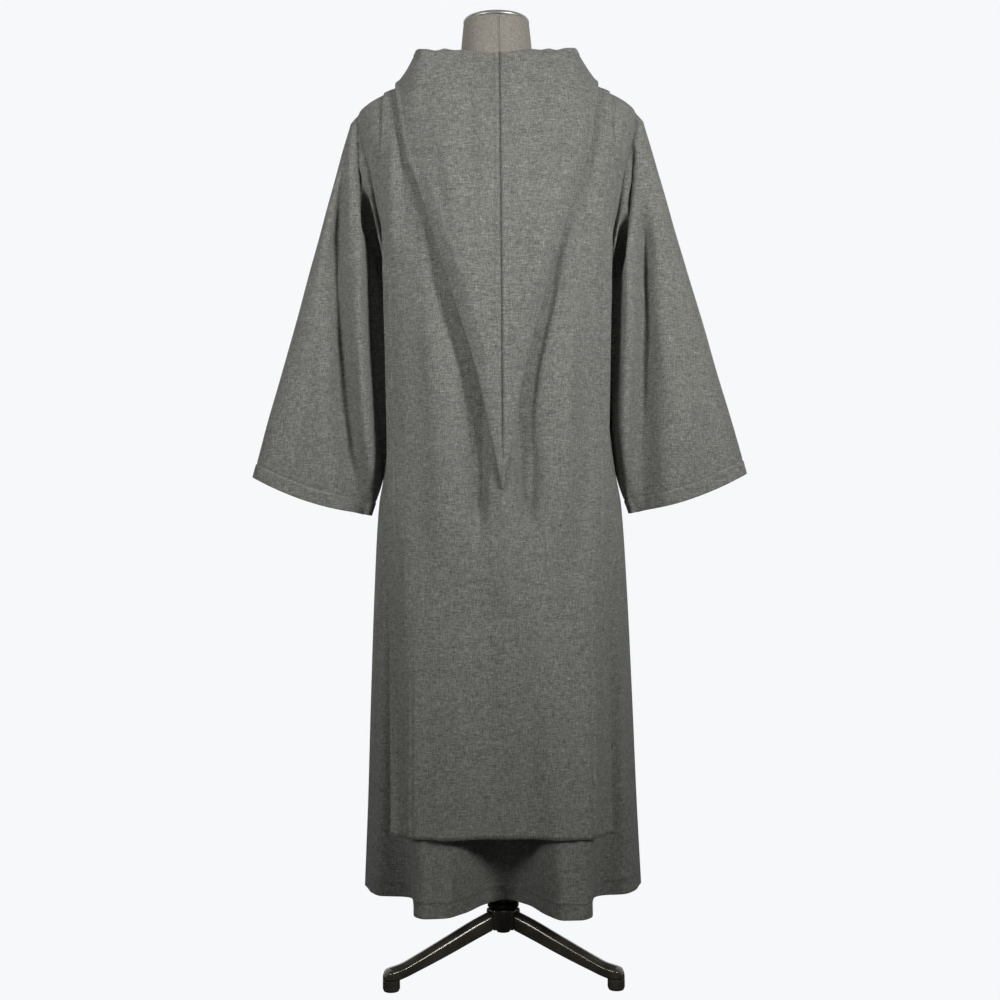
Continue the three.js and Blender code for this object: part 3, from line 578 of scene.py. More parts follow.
WOOL = wool_material()
THREAD = thread_material()
LINEN = linen_material()
BRONZE = metal_material("steel_bronze_plated", ("#4a463c", "#5b564b"), 0.3, 0.5, 0.45)
CAP_METAL = metal_material("aluminium_spun", ("#94958f", "#a6a7a2"), 0.38, 0.0, 0.7)
COLLAR = metal_material("steel_blackened", ("#1d1c1a", "#282724"), 0.35, 0.0, 0.6)
RUBBER = rubber_material()


# ---- stitches: short rounded threads that lie along a line of surface points ----
def stitches(name, points, normals, pitch=4.2, length=3.0, radius=0.42, lift=0.25):
    lengths = np.linalg.norm(np.diff(points, axis=0), axis=1)
    run = np.concatenate([[0], np.cumsum(lengths)])
    starts = np.arange(pitch, run[-1] - pitch, pitch / FINE)
    verts = []
    faces = []
    ring = 5
    for start in starts:
        for n, share in enumerate((0.0, 0.2, 0.8, 1.0)):
            at = start + share * length
            centre = np.array([np.interp(at, run, points[:, k]) for k in range(3)])
            up = unit(np.array([np.interp(at, run, normals[:, k]) for k in range(3)]))
            ahead = np.array([np.interp(at + 1, run, points[:, k]) for k in range(3)]) - centre
            side = unit(np.cross(ahead, up))
            thick = radius * (0.35 if n in (0, 3) else 1.0)
            sink = lift - (0.5 if n in (0, 3) else 0.0)
            for k in range(ring):
                turn = 2 * math.pi * k / ring
                verts.append(centre + up * (sink + thick * math.sin(turn)) + side * thick * math.cos(turn))
        base = len(verts) - 4 * ring
        for n in range(3):
            for k in range(ring):
                a = base + n * ring + k
                b = base + n * ring + (k + 1) % ring
                faces.append((a, b, b + ring, a + ring))
        faces.append(tuple(base + k for k in reversed(range(ring))))
        faces.append(tuple(base + 3 * ring + k for k in range(ring)))
    mesh = bpy.data.meshes.new(name)
    mesh.from_pydata(to_world(verts).tolist(), [], faces)
    mesh.shade_smooth()
    obj = link(name, mesh, THREAD)


# ---- tunic ----
# Creases are (height, width, path); the path runs in x and z. Negative heights are troughs.
TUNIC_BACK_CREASES = [
    (-4.0, 9, [(196, 760), (208, 520), (214, 300), (216, 150)]),
    (3.0, 8, [(214, 700), (228, 470), (236, 280), (238, 150)]),
    (-3.5, 8, [(-202, 720), (-212, 480), (-216, 280), (-214, 150)]),
    (3.0, 8, [(-216, 760), (-231, 500), (-238, 300), (-240, 150)]),
    (-3.0, 10, [(38, 300), (44, 220), (50, 136)]),
    (2.5, 9, [(112, 330), (118, 230), (122, 136)]),
    (-3.0, 9, [(-60, 320), (-66, 220), (-70, 136)]),
    (2.5, 10, [(-118, 300), (-124, 220), (-128, 136)]),
    (-2.0, 6, [(88, 250), (86, 190), (84, 140)]),
    (-2.5, 12, [(222, 1560), (216, 1500), (212, 1440)]),
    (-2.5, 12, [(-222, 1560), (-216, 1500), (-212, 1440)]),
]
TUNIC_FRONT_CREASES = [
    (-4.0, 10, [(198, 800), (206, 540), (212, 300), (210, 150)]),
    (3.0, 9, [(-206, 780), (-222, 500), (-232, 280), (-236, 150)]),
    (-4.0, 11, [(-196, 700), (-190, 460), (-186, 280), (-184, 150)]),
    (-3.0, 9, [(24, 320), (22, 220), (20, 136)]),
    (2.5, 9, [(96, 300), (102, 220), (104, 136)]),
    (-2.5, 8, [(-96, 330), (-92, 230), (-90, 136)]),
]


def hem_relief(height, depth=TUNIC_HEM):
    """A turned hem: a doubled band that ends in a stitched groove."""
    band = 1.1 * (1 - ease(depth - 2, depth + 3, height))
    return band - 1.6 * bell(height - depth, 1.9)


def tunic_piece(side):
    z = np.concatenate([
        np.linspace(HEM_Z, HEM_Z + 60, count(26)),
        np.linspace(HEM_Z + 64, ARMPIT_Z - 5, count(120)),
        np.linspace(ARMPIT_Z, SHOULDER_Z, count(44)),
        np.linspace(SHOULDER_Z + 3, NECKLINE_Z, count(26)),
    ])
    share = np.linspace(-1, 1, count(190 if side > 0 else 132))
    reach = last_angle(z, side)[:, None]
    angle = reach * share[None, :]
    heights = np.broadcast_to(z[:, None], angle.shape)
    points = tunic_point(angle, heights, side)
    seam = armhole_depth(z) == 0
    points[seam, 0, 1] += side * SEAM_GAP / 2
    points[seam, -1, 1] += side * SEAM_GAP / 2
    normals = grid_normals(points) * side
    rows = TUNIC_BACK_CREASES if side > 0 else TUNIC_FRONT_CREASES
    x = points[..., 0]
    relief = creases(x, heights, rows) + 0.9 * ripple(x, heights, side) * (1 - ease(1450, 1560, heights))
    relief = relief + hem_relief(heights - HEM_Z)
    edge = (1 - np.abs(share))[None, :]
    relief = relief * ease(0, 0.04, edge) - 0.8 * bell(edge, 0.012)
    name = "tunic_back" if side > 0 else "tunic_front"
    points = points + normals * relief[..., None]
    obj = cloth(name + "_wool", points[:, ::side], WOOL, name)
    row = int(np.argmin(np.abs(z - (HEM_Z + TUNIC_HEM))))
    stitches(name + "_hem_stitches", points[row, 2:-2], normals[row, 2:-2], pitch=5.0, lift=1.0)


tunic_piece(1)
tunic_piece(-1)


# ---- scapular ----
SCAPULAR_BACK_CREASES = [
    (-34.0, 18, [(37, 760), (38, 840), (40, 920), (43, 985), (50, 1060), (62, 1125), (76, 1180), (92, 1250),
                 (104, 1330)]),
    (-10.0, 28, [(24, 900), (34, 1010), (52, 1100), (70, 1180), (90, 1260), (104, 1340)]),
    (-34.0, 20, [(-50, 770), (-50, 860), (-48, 940), (-46, 1000), (-52, 1090), (-68, 1170), (-84, 1240),
                 (-96, 1320)]),
    (-6.0, 9, [(-52, 800), (-54, 860), (-55, 920), (-54, 980)]),
    (6.0, 14, [(-6, 900), (-8, 820), (-6, 730), (-4, 640)]),
    (8.0, 13, [(181, 1510), (183, 1430), (182, 1350), (176, 1250)]),
    (-6.0, 10, [(158, 1520), (154, 1440), (150, 1360), (140, 1270)]),
    (6.0, 14, [(-178, 1500), (-180, 1400), (-178, 1300), (-172, 1200)]),
    (-5.0, 10, [(-156, 1490), (-152, 1420), (-148, 1350), (-140, 1280)]),
    (9.0, 24, [(124, 1210), (108, 1040), (100, 880), (96, 700)]),
    (9.0, 24, [(-128, 1210), (-116, 1030), (-108, 860), (-104, 690)]),
    (-1.5, 20, [(-152, 1180), (-150, 980), (-150, 740), (-152, 500)]),
    (-4.0, 24, [(30, 760), (24, 560), (16, 400), (12, 272)]),
    (3.5, 22, [(66, 660), (74, 480), (82, 350), (86, 272)]),
    (3.5, 22, [(-64, 660), (-76, 480), (-84, 350), (-88, 272)]),
]
SCAPULAR_FRONT_CREASES = [
    (-5.0, 18, [(60, 1380), (48, 1180), (46, 960), (52, 760)]),
    (-5.0, 18, [(-56, 1360), (-50, 1160), (-54, 940), (-60, 720)]),
    (4.0, 20, [(6, 1300), (2, 1050), (4, 800), (0, 560)]),
    (3.5, 20, [(104, 1250), (100, 980), (108, 700), (112, 450)]),
    (3.5, 20, [(-108, 1260), (-104, 960), (-112, 700), (-116, 440)]),
    (-3.5, 18, [(146, 1150), (144, 900), (150, 640), (152, 400)]),
    (-3.5, 18, [(-148, 1170), (-146, 880), (-154, 620), (-154, 400)]),
    (-3.0, 22, [(20, 620), (14, 460), (8, 272)]),
]
TOPSTITCH = 14.0
HOOD_TROUGH = -9.0
HOOD_TROUGH_WIDTH = 8
HOOD_TROUGH_OUT = 6


def beside_seam(hand, x):
    """Where x on one half of the hood comes to lie: the centre seam hangs a little to one side."""
    return hand * x + HOOD_SEAM_X * np.maximum(0, 1 - x / HOOD_SEAM_REACH)


def hood_edge_trough(hand):
    """The trough that the hood's outer fold presses into the scapular, from the shoulder to the point."""
    path = []
    for turn in (75, 64, 54, 45, 37, 27, 18, 11, 5):
        x = float(beside_seam(hand, read(HOOD, "turn", turn, "foldX")) + hand * HOOD_TROUGH_OUT)
        path.append((x, float(ridge_height(x) - read(HOOD, "turn", turn, "foldDrop"))))
    return (HOOD_TROUGH, HOOD_TROUGH_WIDTH, path)


def scapular_piece(side):
    share = np.sin(np.linspace(-1, 1, count(150 if side > 0 else 110)) * math.pi / 2 * 0.82)
    share = share / share[-1]
    near = np.concatenate([[0.0], np.geomspace(0.5, 40, count(24)), np.linspace(46, 200, count(26))])
    far = np.linspace(0, 1, count(130 if side > 0 else 90))[1:]
    start = ridge_height(share * 200)
    z_rows = [start - drop for drop in near]
    z_rows += [mix(start - near[-1], SCAPULAR_HEM_Z, f) for f in far]
    z = np.array(z_rows)
    half = hang_half(share[None, :], z, side)
    x = share[None, :] * half
    drop = np.maximum(0, ridge_height(x) - z)
    drop[0] = 0
    points = layer_point(x, drop, side, STEP)
    top = (np.arange(len(z))[:, None] == 0) & (np.abs(x) >= NECK_HALF)
    points[..., 1] = np.where(top, side * SEAM_GAP / 2, points[..., 1])
    normals = grid_normals(points)
    normals = normals * np.sign((normals[..., 1] * side).mean())
    z_now = points[..., 2]
    rows = SCAPULAR_FRONT_CREASES
    if side > 0:
        rows = SCAPULAR_BACK_CREASES + [hood_edge_trough(1), hood_edge_trough(-1)]
    edge = (1 - np.abs(share))[None, :] * half
    loose = 1 - ease(1440, 1540, z_now)
    relief = creases(x, z_now, rows) + 1.1 * ripple(x, z_now, side + 3) * loose
    clearance = layer_depth(x, z_now, side) - tunic_depth(x, z_now, side)
    relief = np.maximum(relief, -np.maximum(clearance - 1, 1.5))
    band = 0.8 * (1 - ease(TOPSTITCH - 1, TOPSTITCH + 2, edge)) - 1.0 * bell(edge - TOPSTITCH, 1.6)
    relief = relief * ease(0, 16, edge) + band + hem_relief(z_now - SCAPULAR_HEM_Z, TOPSTITCH)
    relief = relief * ease(0, 12, drop)
    points = points + normals * relief[..., None]
    name = "scapular_back" if side > 0 else "scapular_front"
    obj = cloth(name + "_wool", points, WOOL, name)
    for hand in (-1, 1):
        target = (half - TOPSTITCH) / half
        column = np.abs(share[None, :] - hand * target).argmin(axis=1)
        line = points[np.arange(len(z)), column][4:-3]
        face = normals[np.arange(len(z)), column][4:-3]
        stitches(f"{name}_stitches_{'left' if hand > 0 else 'right'}", line, face, lift=0.7)
    row = int(np.argmin(np.abs(z[:, len(share) // 2] - (SCAPULAR_HEM_Z + TOPSTITCH))))
    stitches(f"{name}_hem_stitches", points[row, 3:-3], normals[row, 3:-3], lift=0.7)


scapular_piece(1)
scapular_piece(-1)


# ---- hood ----
HOOD_CREASES = {
    1: [
        (-2.0, 14, [(120, 1500), (102, 1410), (82, 1310), (66, 1230)]),
        (3.0, 14, [(96, 1500), (84, 1400), (70, 1300), (52, 1180)]),
        (-2.5, 16, [(50, 1620), (52, 1520), (44, 1400), (34, 1260)]),
        (2.5, 16, [(26, 1560), (26, 1420), (22, 1280)]),
        (-2.0, 10, [(118, 1630), (124, 1570), (120, 1510)]),
    ],
    -1: [
        (-2.0, 14, [(-122, 1500), (-106, 1410), (-84, 1310), (-70, 1230)]),
        (3.0, 15, [(-92, 1520), (-84, 1410), (-70, 1300), (-54, 1180)]),
        (-2.5, 16, [(-54, 1620), (-58, 1520), (-50, 1400), (-40, 1260)]),
        (2.5, 16, [(-30, 1560), (-30, 1420), (-26, 1280)]),
        (-2.0, 10, [(-116, 1630), (-124, 1570), (-118, 1510)]),
    ],
}
HOOD_HEM = 15.0
# How far the bag swells between its outer fold and its face edge.
HOOD_SWELL = 15


def hood_piece(hand):
    turns = np.concatenate([
        np.linspace(0, 6, count(16)), np.linspace(7, 78, count(56)), np.linspace(79, 101, count(30)),
        np.linspace(104, 176, count(30)), np.linspace(177.5, 180, count(8)),
    ])
    line = {name: read(HOOD, "turn", turns, name) for name in HOOD}
    side = np.where(turns <= 90, 1, -1)
    run = np.hypot(line["foldX"] - line["neckX"], line["foldDrop"])
    x_step = (line["foldX"] - line["neckX"]) / run
    drop_step = line["foldDrop"] / run
    under = 2 * STEP + HOOD_EASE
    crowding = 1 + 1.2 * np.clip(line["foldDrop"] / 300, 0, 1)
    steps = []
    for even in np.linspace(0, 0.97, count(44)):
        share = even**crowding
        steps.append((mix(line["neckX"], line["foldX"], share), line["foldDrop"] * share,
                      np.full_like(turns, under), np.zeros_like(turns)))
    for turn in np.radians(np.linspace(-90, 90, count(11))):
        out = HOOD_FOLD * math.cos(turn)
        steps.append((line["foldX"] + x_step * out, line["foldDrop"] + drop_step * out,
                      np.full_like(turns, under + HOOD_FOLD * (1 + math.sin(turn))), np.zeros_like(turns)))
    outer_first = len(steps)
    roominess = ease(120, 520, run) * ease(0, 110, line["foldX"] * 1.4 + 25)
    for share in np.linspace(0.02, 1, count(110)):
        swell = HOOD_SWELL * min(1, share * 6) * (1 - share) ** 1.5 * roominess
        lift = mix(under + 2 * HOOD_FOLD, line["lift"] + STEP, share**1.15) + swell
        steps.append((mix(line["foldX"], line["edgeX"], share),
                      mix(line["foldDrop"], line["edgeDrop"], share), lift, line["rise"] * share**3))
    points = []
    for x, drop, lift, rise in steps:
        placed = beside_seam(hand, x)
        back = layer_point(placed, drop, 1, lift)
        front = layer_point(placed, drop, -1, lift)
        row = np.where((side > 0)[:, None], back, front)
        row[:, 2] += rise
        points.append(row)
    points = np.array(points)
    points[:, 0, 0] = HOOD_SEAM_X + hand * SEAM_GAP / 2
    points[:, -1, 0] = HOOD_SEAM_X + hand * SEAM_GAP / 2
    normals = grid_normals(points)
    outer = np.arange(len(steps)) >= outer_first
    facing = normals[outer][:, :40, 1].mean()
    normals = normals * np.sign(facing)
    x = points[..., 0]
    z = points[..., 2]
    seam = np.abs(x - HOOD_SEAM_X)
    back = (points[..., 1] > 20) & outer[:, None]
    relief = creases(x, z, HOOD_CREASES[hand]) + 1.0 * ripple(x, z, hand + 5)
    relief = relief * ease(2, 26, seam) * back
    groove = -3.6 * bell(seam, 1.9) + 1.2 * bell(seam - 6, 3.0)
    relief = relief + groove * back
    edge_run = np.linalg.norm(points - points[-1], axis=-1)
    relief = relief + outer[:, None] * hem_relief(edge_run, HOOD_HEM)
    fade = ease(0, 10, np.abs(np.arange(len(steps))[:, None] - outer_first))
    relief = relief * fade * outer[:, None]
    points = points + normals * relief[..., None]
    word = "left" if hand > 0 else "right"
    obj = cloth(f"hood_{word}_wool", points, WOOL, f"hood_{word}")
    row = int(np.argmin(np.abs(edge_run[outer_first:, 0] - HOOD_HEM))) + outer_first
    stitches(f"hood_{word}_hem_stitches", points[row, 2:-2], normals[row, 2:-2], lift=0.7)


hood_piece(1)
hood_piece(-1)


# ---- sleeves ----
SLEEVE_FOLDS = {
    1: {"from": -0.05, "slope": 0.95, "deep": 36, "start": 0.36, "growth": 0.62, "fall": 0.92},
    -1: {"from": 0.22, "slope": 0.67, "deep": 34, "start": 0.55, "growth": 0.5, "fall": 0.85},
}
# Creases on a sleeve: (height, width, path) in share along the sleeve and share down from its upper line.
SLEEVE_CREASES = {
    1: [
        (-4.0, 0.045, [(0.12, 0.12), (0.45, 0.2), (0.8, 0.28), (1.0, 0.32)]),
        (3.0, 0.05, [(0.2, 0.3), (0.55, 0.38), (0.9, 0.46), (1.0, 0.5)]),
        (-2.5, 0.04, [(0.4, 0.62), (0.7, 0.68), (1.0, 0.72)]),
        (-22.0, 0.05, [(0.03, 0.1), (0.07, 0.34), (0.11, 0.58), (0.17, 0.8), (0.26, 0.96)]),
    ],
    -1: [
        (-3.5, 0.05, [(0.1, 0.16), (0.4, 0.22), (0.75, 0.3), (1.0, 0.36)]),
        (3.0, 0.05, [(0.25, 0.34), (0.6, 0.44), (0.95, 0.5)]),
        (-2.5, 0.045, [(0.35, 0.58), (0.7, 0.66), (1.0, 0.74)]),
        (-20.0, 0.045, [(0.03, 0.22), (0.06, 0.42), (0.1, 0.62), (0.16, 0.82), (0.25, 0.96)]),
    ],
}
CUFF_HEM = 26.0


def sleeve_profile(along, down, depth, folds, face):
    """How far a sleeve's face stands off its middle: a ridge, a valley outside it, and a fall to the body."""
    plain = depth * np.maximum(0, 1 - np.abs(2 * down - 1) ** 2.4) ** (1 / 2.4)
    strength = ease(0.06, 0.34, along) * ease(0, 0.1, down) * ease(0, 0.06, 1 - down)
    if face < 0:
        return plain - strength * 9 * bell(down - 0.45, 0.12)
    ridge_at = np.minimum(0.9, folds["start"] + folds["growth"] * along)
    valley_at = folds["from"] + folds["slope"] * along
    ridge = 8 * bell(down - ridge_at, 0.08)
    valley = folds["deep"] * bell(down - valley_at, 0.12)
    shaped = plain + strength * (ridge - valley)
    fall = folds["fall"] * ease(ridge_at + 0.04, ridge_at + 0.14, down) * ease(0.04, 0.16, along)
    return shaped * (1 - fall * (1 - ease(0.86, 1, along)))


def sleeve_piece(hand):
    folds = SLEEVE_FOLDS[hand]
    half_turns = count(60)
    down_half = (1 - np.cos(np.linspace(0, math.pi, half_turns + 1))) / 2
    down = np.concatenate([down_half, down_half[-2:0:-1]])
    face = np.concatenate([np.ones(half_turns + 1), -np.ones(half_turns - 1)])
    z = mix(SHOULDER_Z, ARMPIT_Z, down)
    rings = []
    armhole = np.zeros((len(down), 3))
    for side in (1, -1):
        pick = face == side
        points = tunic_point(hand * last_angle(z[pick], side), z[pick], side)
        normal = oval_normal(points[:, 0], points[:, 1], points[:, 2], side)
        armhole[pick] = points + normal * (WALL / 2 + SEAM_GAP + 0.1)
    rings.append(armhole)
    alongs = np.concatenate([np.linspace(0.05, 0.9, count(100)), np.linspace(0.906, 1, count(34))])
    for along in alongs:
        line = {name: read(SLEEVE, "along", along, name) for name in SLEEVE}
        beside = section(line["underZ"], 1)[0] + 2.8
        under_x = mix(np.minimum(beside, line["underX"]), line["underX"], ease(0.8, 1, along))
        out = np.where(face > 0, sleeve_profile(along, down, line["depth"], folds, 1),
                       sleeve_profile(along, down, line["depth"], folds, -1))
        sag = 10 * ease(0.6, 1, along)
        rings.append(np.stack([
            hand * mix(line["topX"], under_x, down),
            -12 * along + face * out,
            mix(line["topZ"], line["underZ"], down) - sag * np.sin(math.pi * down),
        ], axis=-1))
    cap = np.linspace(0, 1, 7)[1:-1]
    rings[1:1] = [mix(rings[0], rings[1], share) for share in cap]
    points = np.array(rings)
    normals = grid_normals(points, wrapped=True)
    normals = normals * np.sign((normals[8, :half_turns, 1]).mean())
    along_grid = np.concatenate([[0.0], 0.05 * cap, alongs])[:, None] * np.ones_like(down)[None, :]
    down_grid = down[None, :] * np.ones_like(along_grid)
    relief = creases(along_grid, down_grid, SLEEVE_CREASES[hand])
    relief = relief + 0.9 * ripple(points[..., 0], points[..., 2], hand + 8) * ease(0.03, 0.15, along_grid)
    hem_run = np.linalg.norm(points - points[-1], axis=-1)
    relief = relief + hem_relief(hem_run, CUFF_HEM) - 2.0 * bell(along_grid, 0.012)
    relief[0] = 0
    points = points + normals * relief[..., None]
    word = "left" if hand > 0 else "right"
    obj = cloth(f"sleeve_{word}_wool", points, WOOL, f"sleeve_{word}", wrapped=True)
    row = int(np.argmin(np.abs(hem_run[:, half_turns // 2] - CUFF_HEM)))
    loop = np.concatenate([points[row], points[row, :1]])
    stitches(f"sleeve_{word}_cuff_stitches", loop, np.concatenate([normals[row], normals[row, :1]]), lift=0.9)


sleeve_piece(1)
sleeve_piece(-1)


# ---- dress form and stand ----
FORM = table("z half back front", [
    (832, 146, 88, 92), (840, 156, 96, 100), (900, 164, 101, 104), (990, 156, 96, 101),
    (1085, 146, 90, 98), (1200, 158, 98, 104), (1310, 172, 104, 108), (1400, 188, 99, 102),
    (1470, 206, 91, 93), (1520, 218, 83, 83), (1555, 221, 76, 75), (1573, 214, 74, 73),
    (1585, 203, 75, 74), (1598.5, 163, 73, 72), (1610, 120, 71, 70), (1620, 83, 70, 69),
    (1634, 70, 64, 64), (1650, 66, 62, 62), (1680, 64, 61, 61), (1718.7, 60, 58, 58),
])


def closed_rings(name, rings, material):
    """A whole body from rings of equal count, with a middle point at each end."""
    rings = np.array(rings)
    rows, columns = rings.shape[:2]
    verts = to_world(rings).tolist() + to_world(rings[[0, -1]].mean(axis=1)).tolist()
    faces = []
    for r in range(rows - 1):
        for c in range(columns):
            n = (c + 1) % columns
            faces.append((r * columns + c, r * columns + n, (r + 1) * columns + n, (r + 1) * columns + c))
    low = rows * columns
    for c in range(columns):
        n = (c + 1) % columns
        faces.append((low, n, c))
        faces.append((low + 1, (rows - 1) * columns + c, (rows - 1) * columns + n))
    mesh = bpy.data.meshes.new(name)
    mesh.from_pydata(verts, [], faces)
    mesh.shade_smooth()
    return link(name, mesh, material)


def form_piece():
    seam_turn = 2 * math.pi - 0.048
    near = seam_turn + np.array([-0.05, -0.036, -0.024, -0.012, 0, 0.012, 0.024, 0.036])
    turns = np.unique(np.concatenate([np.linspace(0, 2 * math.pi, count(112), endpoint=False), near]))
    side = np.where(np.cos(turns) >= 0, 1, -1)
    angle = np.arcsin(np.sin(turns))
    rings = []
    heights = [np.linspace(832, 842, 6), np.linspace(850, 1560, 60), np.linspace(1566, 1718.7, 44)]
    for z in np.concatenate(heights):
        half = read(FORM, "z", z, "half") - 0.6
        depth = np.where(side > 0, read(FORM, "z", z, "back"), read(FORM, "z", z, "front")) - 0.6
        depth = depth - 1.6 * bell(turns - seam_turn, 0.016) * ease(1600, 1625, z)
        x, y = oval(angle, half, depth, side)
        rings.append(np.stack([x, y, np.full_like(x, z)], axis=-1))
    obj = closed_rings("form_linen", rings, LINEN)
    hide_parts("form_torso")
    seam_z = np.linspace(1640, 1716, 40)
    line = np.stack([np.full_like(seam_z, -3.0), read(FORM, "z", seam_z, "back") - 0.4, seam_z], axis=-1)
    stitches("form_neck_seam_stitches", line, np.tile([0.0, 1.0, 0.0], (40, 1)), pitch=2.6, length=1.8,
             radius=0.3, lift=0.1)


def turned(name, profile, material, node, steps=96):
    """A body turned about the pole's axis from (radius, height) points; a disc closes each of its ends."""
    turns = np.linspace(0, 2 * math.pi, steps, endpoint=False)
    rings = [np.stack([r * np.cos(turns), r * np.sin(turns), np.full_like(turns, z)], -1) for r, z in profile]
    obj = closed_rings(name, rings, material)
    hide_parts(node)


def rounded(points, radius, steps=5):
    """The points of a profile with its inner corners turned into small arcs."""
    out = [points[0]]
    for before, at, after in zip(points[:-2], points[1:-1], points[2:]):
        before, at, after = (np.array(p, float) for p in (before, at, after))
        reach_in = min(radius, np.linalg.norm(before - at) * 0.45)
        reach_out = min(radius, np.linalg.norm(after - at) * 0.45)
        start = at + (before - at) / np.linalg.norm(before - at) * reach_in
        end = at + (after - at) / np.linalg.norm(after - at) * reach_out
        for t in np.linspace(0, 1, steps):
            out.append(tuple((1 - t) ** 2 * start + 2 * t * (1 - t) * at + t**2 * end))
    out.append(points[-1])
    return out


def neck_cap():
    profile = [(0.5, 1719), (59, 1719), (60, 1720), (60, 1723), (57, 1726.5), (40, 1731), (0.5, 1733)]
    turned("neck_cap_metal", rounded(profile, 2.0), CAP_METAL, "neck_cap")


def pole():
    profile = [(0.5, 112.3), (14, 112.3), (14, 831.7), (0.5, 831.7)]
    turned("pole_metal", rounded(profile, 0.8), BRONZE, "pole", 64)


def collar():
    profile = [(14.4, 112.4), (26, 112.4), (28.5, 115), (28.5, 121), (26.5, 124), (20, 125), (15.5, 124.6),
               (14.4, 123)]
    turned("hub_collar_metal", rounded(profile, 1.2), COLLAR, "hub_collar")


FOOT_REACH = 226


def leg_turn(number):
    return math.radians(-90 + 120 * (number - 1))


def turned_place(turn, out, across):
    """The plan's x and y, this far out from the pole along a turn and this far across it."""
    return np.array([out * math.cos(turn) - across * math.sin(turn),
                     out * math.sin(turn) + across * math.cos(turn)])


def hub_outline():
    """The hub's plan: a flat toward each leg, and a hollow curve between them."""
    flat = 27.6
    half = 12.6
    hollow = 15
    points = []
    for number in (1, 2, 3):
        at = leg_turn(number)
        for across in np.linspace(-half, half, 7):
            points.append(turned_place(at, flat, across))
        start = turned_place(at, flat, half)
        end = turned_place(leg_turn(number + 1), flat, -half)
        control = turned_place(at + math.radians(60), hollow, 0)
        for t in np.linspace(0.08, 0.92, 12):
            points.append((1 - t) ** 2 * start + 2 * t * (1 - t) * control + t**2 * end)
    return np.array(points)


def hub():
    plan = hub_outline()
    rings = []
    insets = ((76, 2.5), (76.4, 1.2), (77.6, 0.3), (80, 0), (106, 0), (109.5, 0.3), (111.4, 1.2), (112, 2.6))
    for z, inset in insets:
        shrink = 1 - inset / 30
        rings.append(np.column_stack([plan * shrink, np.full(len(plan), z)]))
    obj = closed_rings("hub_metal", rings, BRONZE)
    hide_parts("hub")


LEG = table("out low high half", [
    (28.6, 76, 108, 13), (60, 66, 98, 13), (120, 46, 75, 13), (180, 28, 52, 13), (206, 21, 43, 13.5),
    (218, 19.4, 41, 14.5), (230, 19.4, 39, 14), (238, 19.4, 33, 9), (240.5, 19.4, 27, 5),
])


def leg(number):
    """A leg: a cast bar with a flat underside, upright sides and a ridge along its top."""
    section_points = [(-0.8, 0), (0.8, 0), (1, 0.12), (1, 0.7), (0.9, 0.8), (0.62, 0.92), (0.08, 0.998),
                      (-0.08, 0.998), (-0.62, 0.92), (-0.9, 0.8), (-1, 0.7), (-1, 0.12)]
    plan = []
    for p, q in zip(section_points, section_points[1:] + section_points[:1]):
        for t in (0.06, 0.5, 0.94):
            plan.append((mix(p[0], q[0], t), mix(p[1], q[1], t)))
    rings = []
    for out in np.concatenate([[28.6, 29.2], np.linspace(32, 214, 30), np.linspace(217, 240.5, 14)]):
        low, high, half = (read(LEG, "out", out, name) for name in ("low", "high", "half"))
        end = ease(228, 241, out)
        shrink = 1 - 0.18 * end**2 - (0.05 if out < 29 else 0)
        middle = (low + high) / 2
        rings.append([(out, across * half * shrink, middle + (mix(low, high, up) - middle) * shrink)
                      for across, up in plan])
    rings = np.array(rings)
    x, y = turned_place(leg_turn(number), rings[..., 0], rings[..., 1])
    obj = closed_rings(f"leg_{number}_metal", np.stack([x, y, rings[..., 2]], -1), BRONZE)
    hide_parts(f"leg_{number}")


def foot_pad(number):
    """The foot under a leg's end: a bronze shoe that stands on a thin rubber glide."""
    centre = np.append(turned_place(leg_turn(number), FOOT_REACH, 0), 0)
    turns = np.linspace(0, 2 * math.pi, 56, endpoint=False)
    shoe = [(0.4, 3.2), (14.6, 3.2), (15, 4), (15, 18.4), (14.8, 19.3), (0.4, 19.3)]
    glide = [(0.4, 0), (13, 0), (13.6, 0.8), (13.6, 3), (0.4, 3)]
    for name, profile, material, slot_name in (
            ("shoe", shoe, BRONZE, "dark_bronze"), ("glide", glide, RUBBER, "foot_rubber")):
        rings = [np.stack([r * np.cos(turns), r * np.sin(turns), np.full_like(turns, z)], -1) + centre
                 for r, z in rounded(profile, 1.0)]
        obj = closed_rings(f"foot_{number}_{name}", rings, material)
        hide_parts(f"foot_pad_{number}")


form_piece()
neck_cap()
pole()
collar()
hub()
for leg_number in (1, 2, 3):
    leg(leg_number)
    foot_pad(leg_number)


# ---- backdrop, floor and lights ----
def paper_material():
    """Pale studio paper, lit by itself so that it stays even."""
    _, shader, material = new_material("paper_backdrop", Roughness=1.0)
    shader.inputs["Base Color"].default_value = linear("#000000")
    shader.inputs["Specular IOR Level"].default_value = 0.0
    shader.inputs["Emission Color"].default_value = linear("#f7f8fa")
    shader.inputs["Emission Strength"].default_value = 1.0
    return material


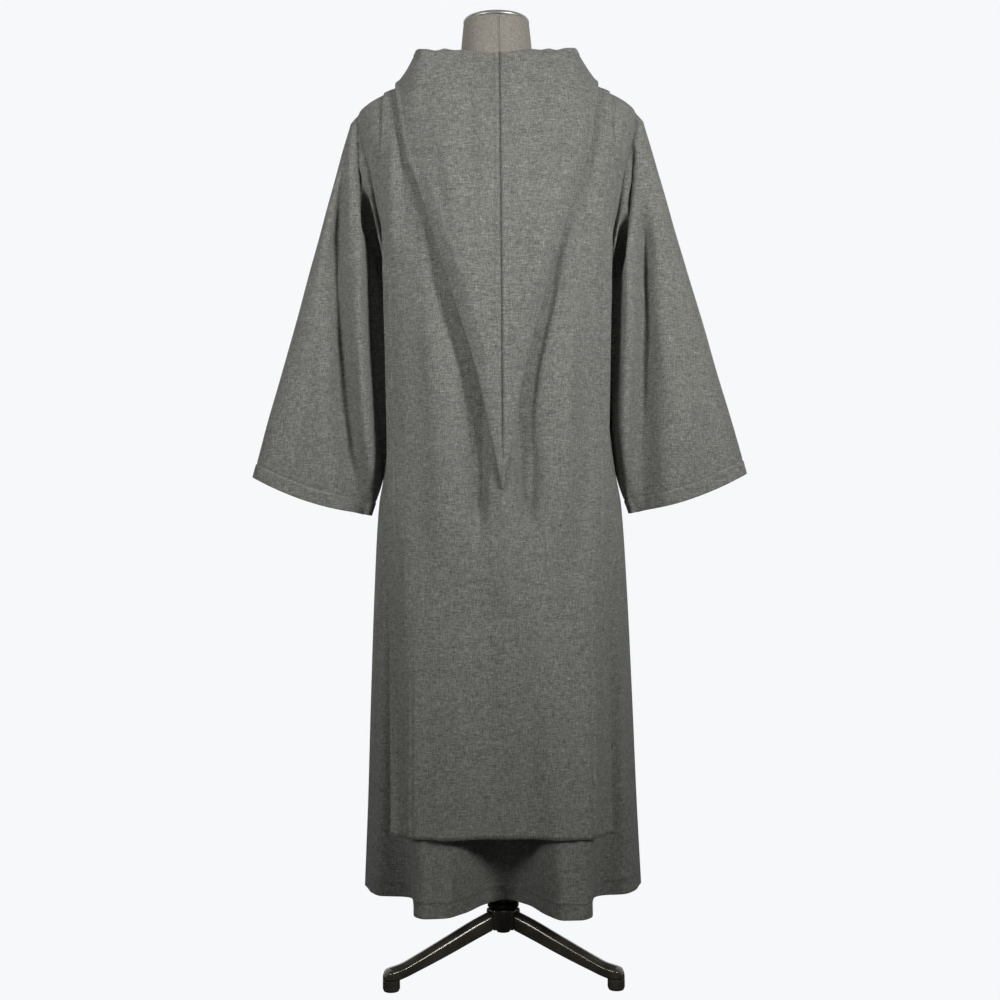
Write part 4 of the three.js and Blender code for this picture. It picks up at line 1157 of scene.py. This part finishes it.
def paper(name, corners, material):
    """A plain sheet of studio paper: the wall behind the object, or the floor under it."""
    mesh = bpy.data.meshes.new(name)
    mesh.from_pydata(corners, [], [(0, 1, 2, 3)])
    obj = bpy.data.objects.new(name, mesh)
    bpy.context.collection.objects.link(obj)
    mesh.materials.append(material)
    obj.visible_diffuse = False
    obj.visible_shadow = False
    return obj


def area_light(name, place, target, size, watts, spread=180):
    data = bpy.data.lights.new(name, "AREA")
    data.shape = "RECTANGLE"
    data.size, data.size_y = size
    data.energy = watts
    data.spread = math.radians(spread)
    light = bpy.data.objects.new(name, data)
    bpy.context.collection.objects.link(light)
    light.location = place
    aim = Vector(target) - Vector(place)
    light.rotation_euler = aim.to_track_quat("-Z", "Y").to_euler()


def world_light(strength):
    world = bpy.data.worlds.new("studio")
    world.use_nodes = True
    background = world.node_tree.nodes["Background"]
    background.inputs["Color"].default_value = (0.96, 0.98, 1.0, 1)
    background.inputs["Strength"].default_value = strength
    bpy.context.scene.world = world


bpy.context.scene.view_settings.view_transform = "Standard"
PAPER = paper_material()
paper("backdrop", [(-9, -3, -0.001), (9, -3, -0.001), (9, -3, 9), (-9, -3, 9)], PAPER)
floor = paper("floor", [(-9, -3, -0.001), (9, -3, -0.001), (9, 9, -0.001), (-9, 9, -0.001)], PAPER)
floor.visible_glossy = False
world_light(0.03)
area_light("key", (-1.9, 2.2, 2.0), (0, 0.1, 1.28), (0.7, 0.7), 10.6, spread=62)
area_light("fill", (2.0, 2.1, 1.9), (0, 0.1, 1.28), (0.7, 0.7), 6.4, spread=62)
area_light("front", (0, 2.9, 2.0), (0, 0.1, 0.9), (1.4, 1.0), 0.8)
area_light("top", (-0.2, 0.5, 3.2), (0, 0.1, 1.2), (1.6, 1.0), 2)
area_light("side_left", (2.6, 0.0, 1.0), (0, 0, 0.7), (1.0, 2.0), 5)
area_light("side_right", (-2.6, 0.0, 1.0), (0, 0, 0.7), (1.0, 2.0), 3)
area_light("low", (0.2, 2.6, 0.4), (0, 0.1, 0.1), (1.6, 0.5), 2.3)
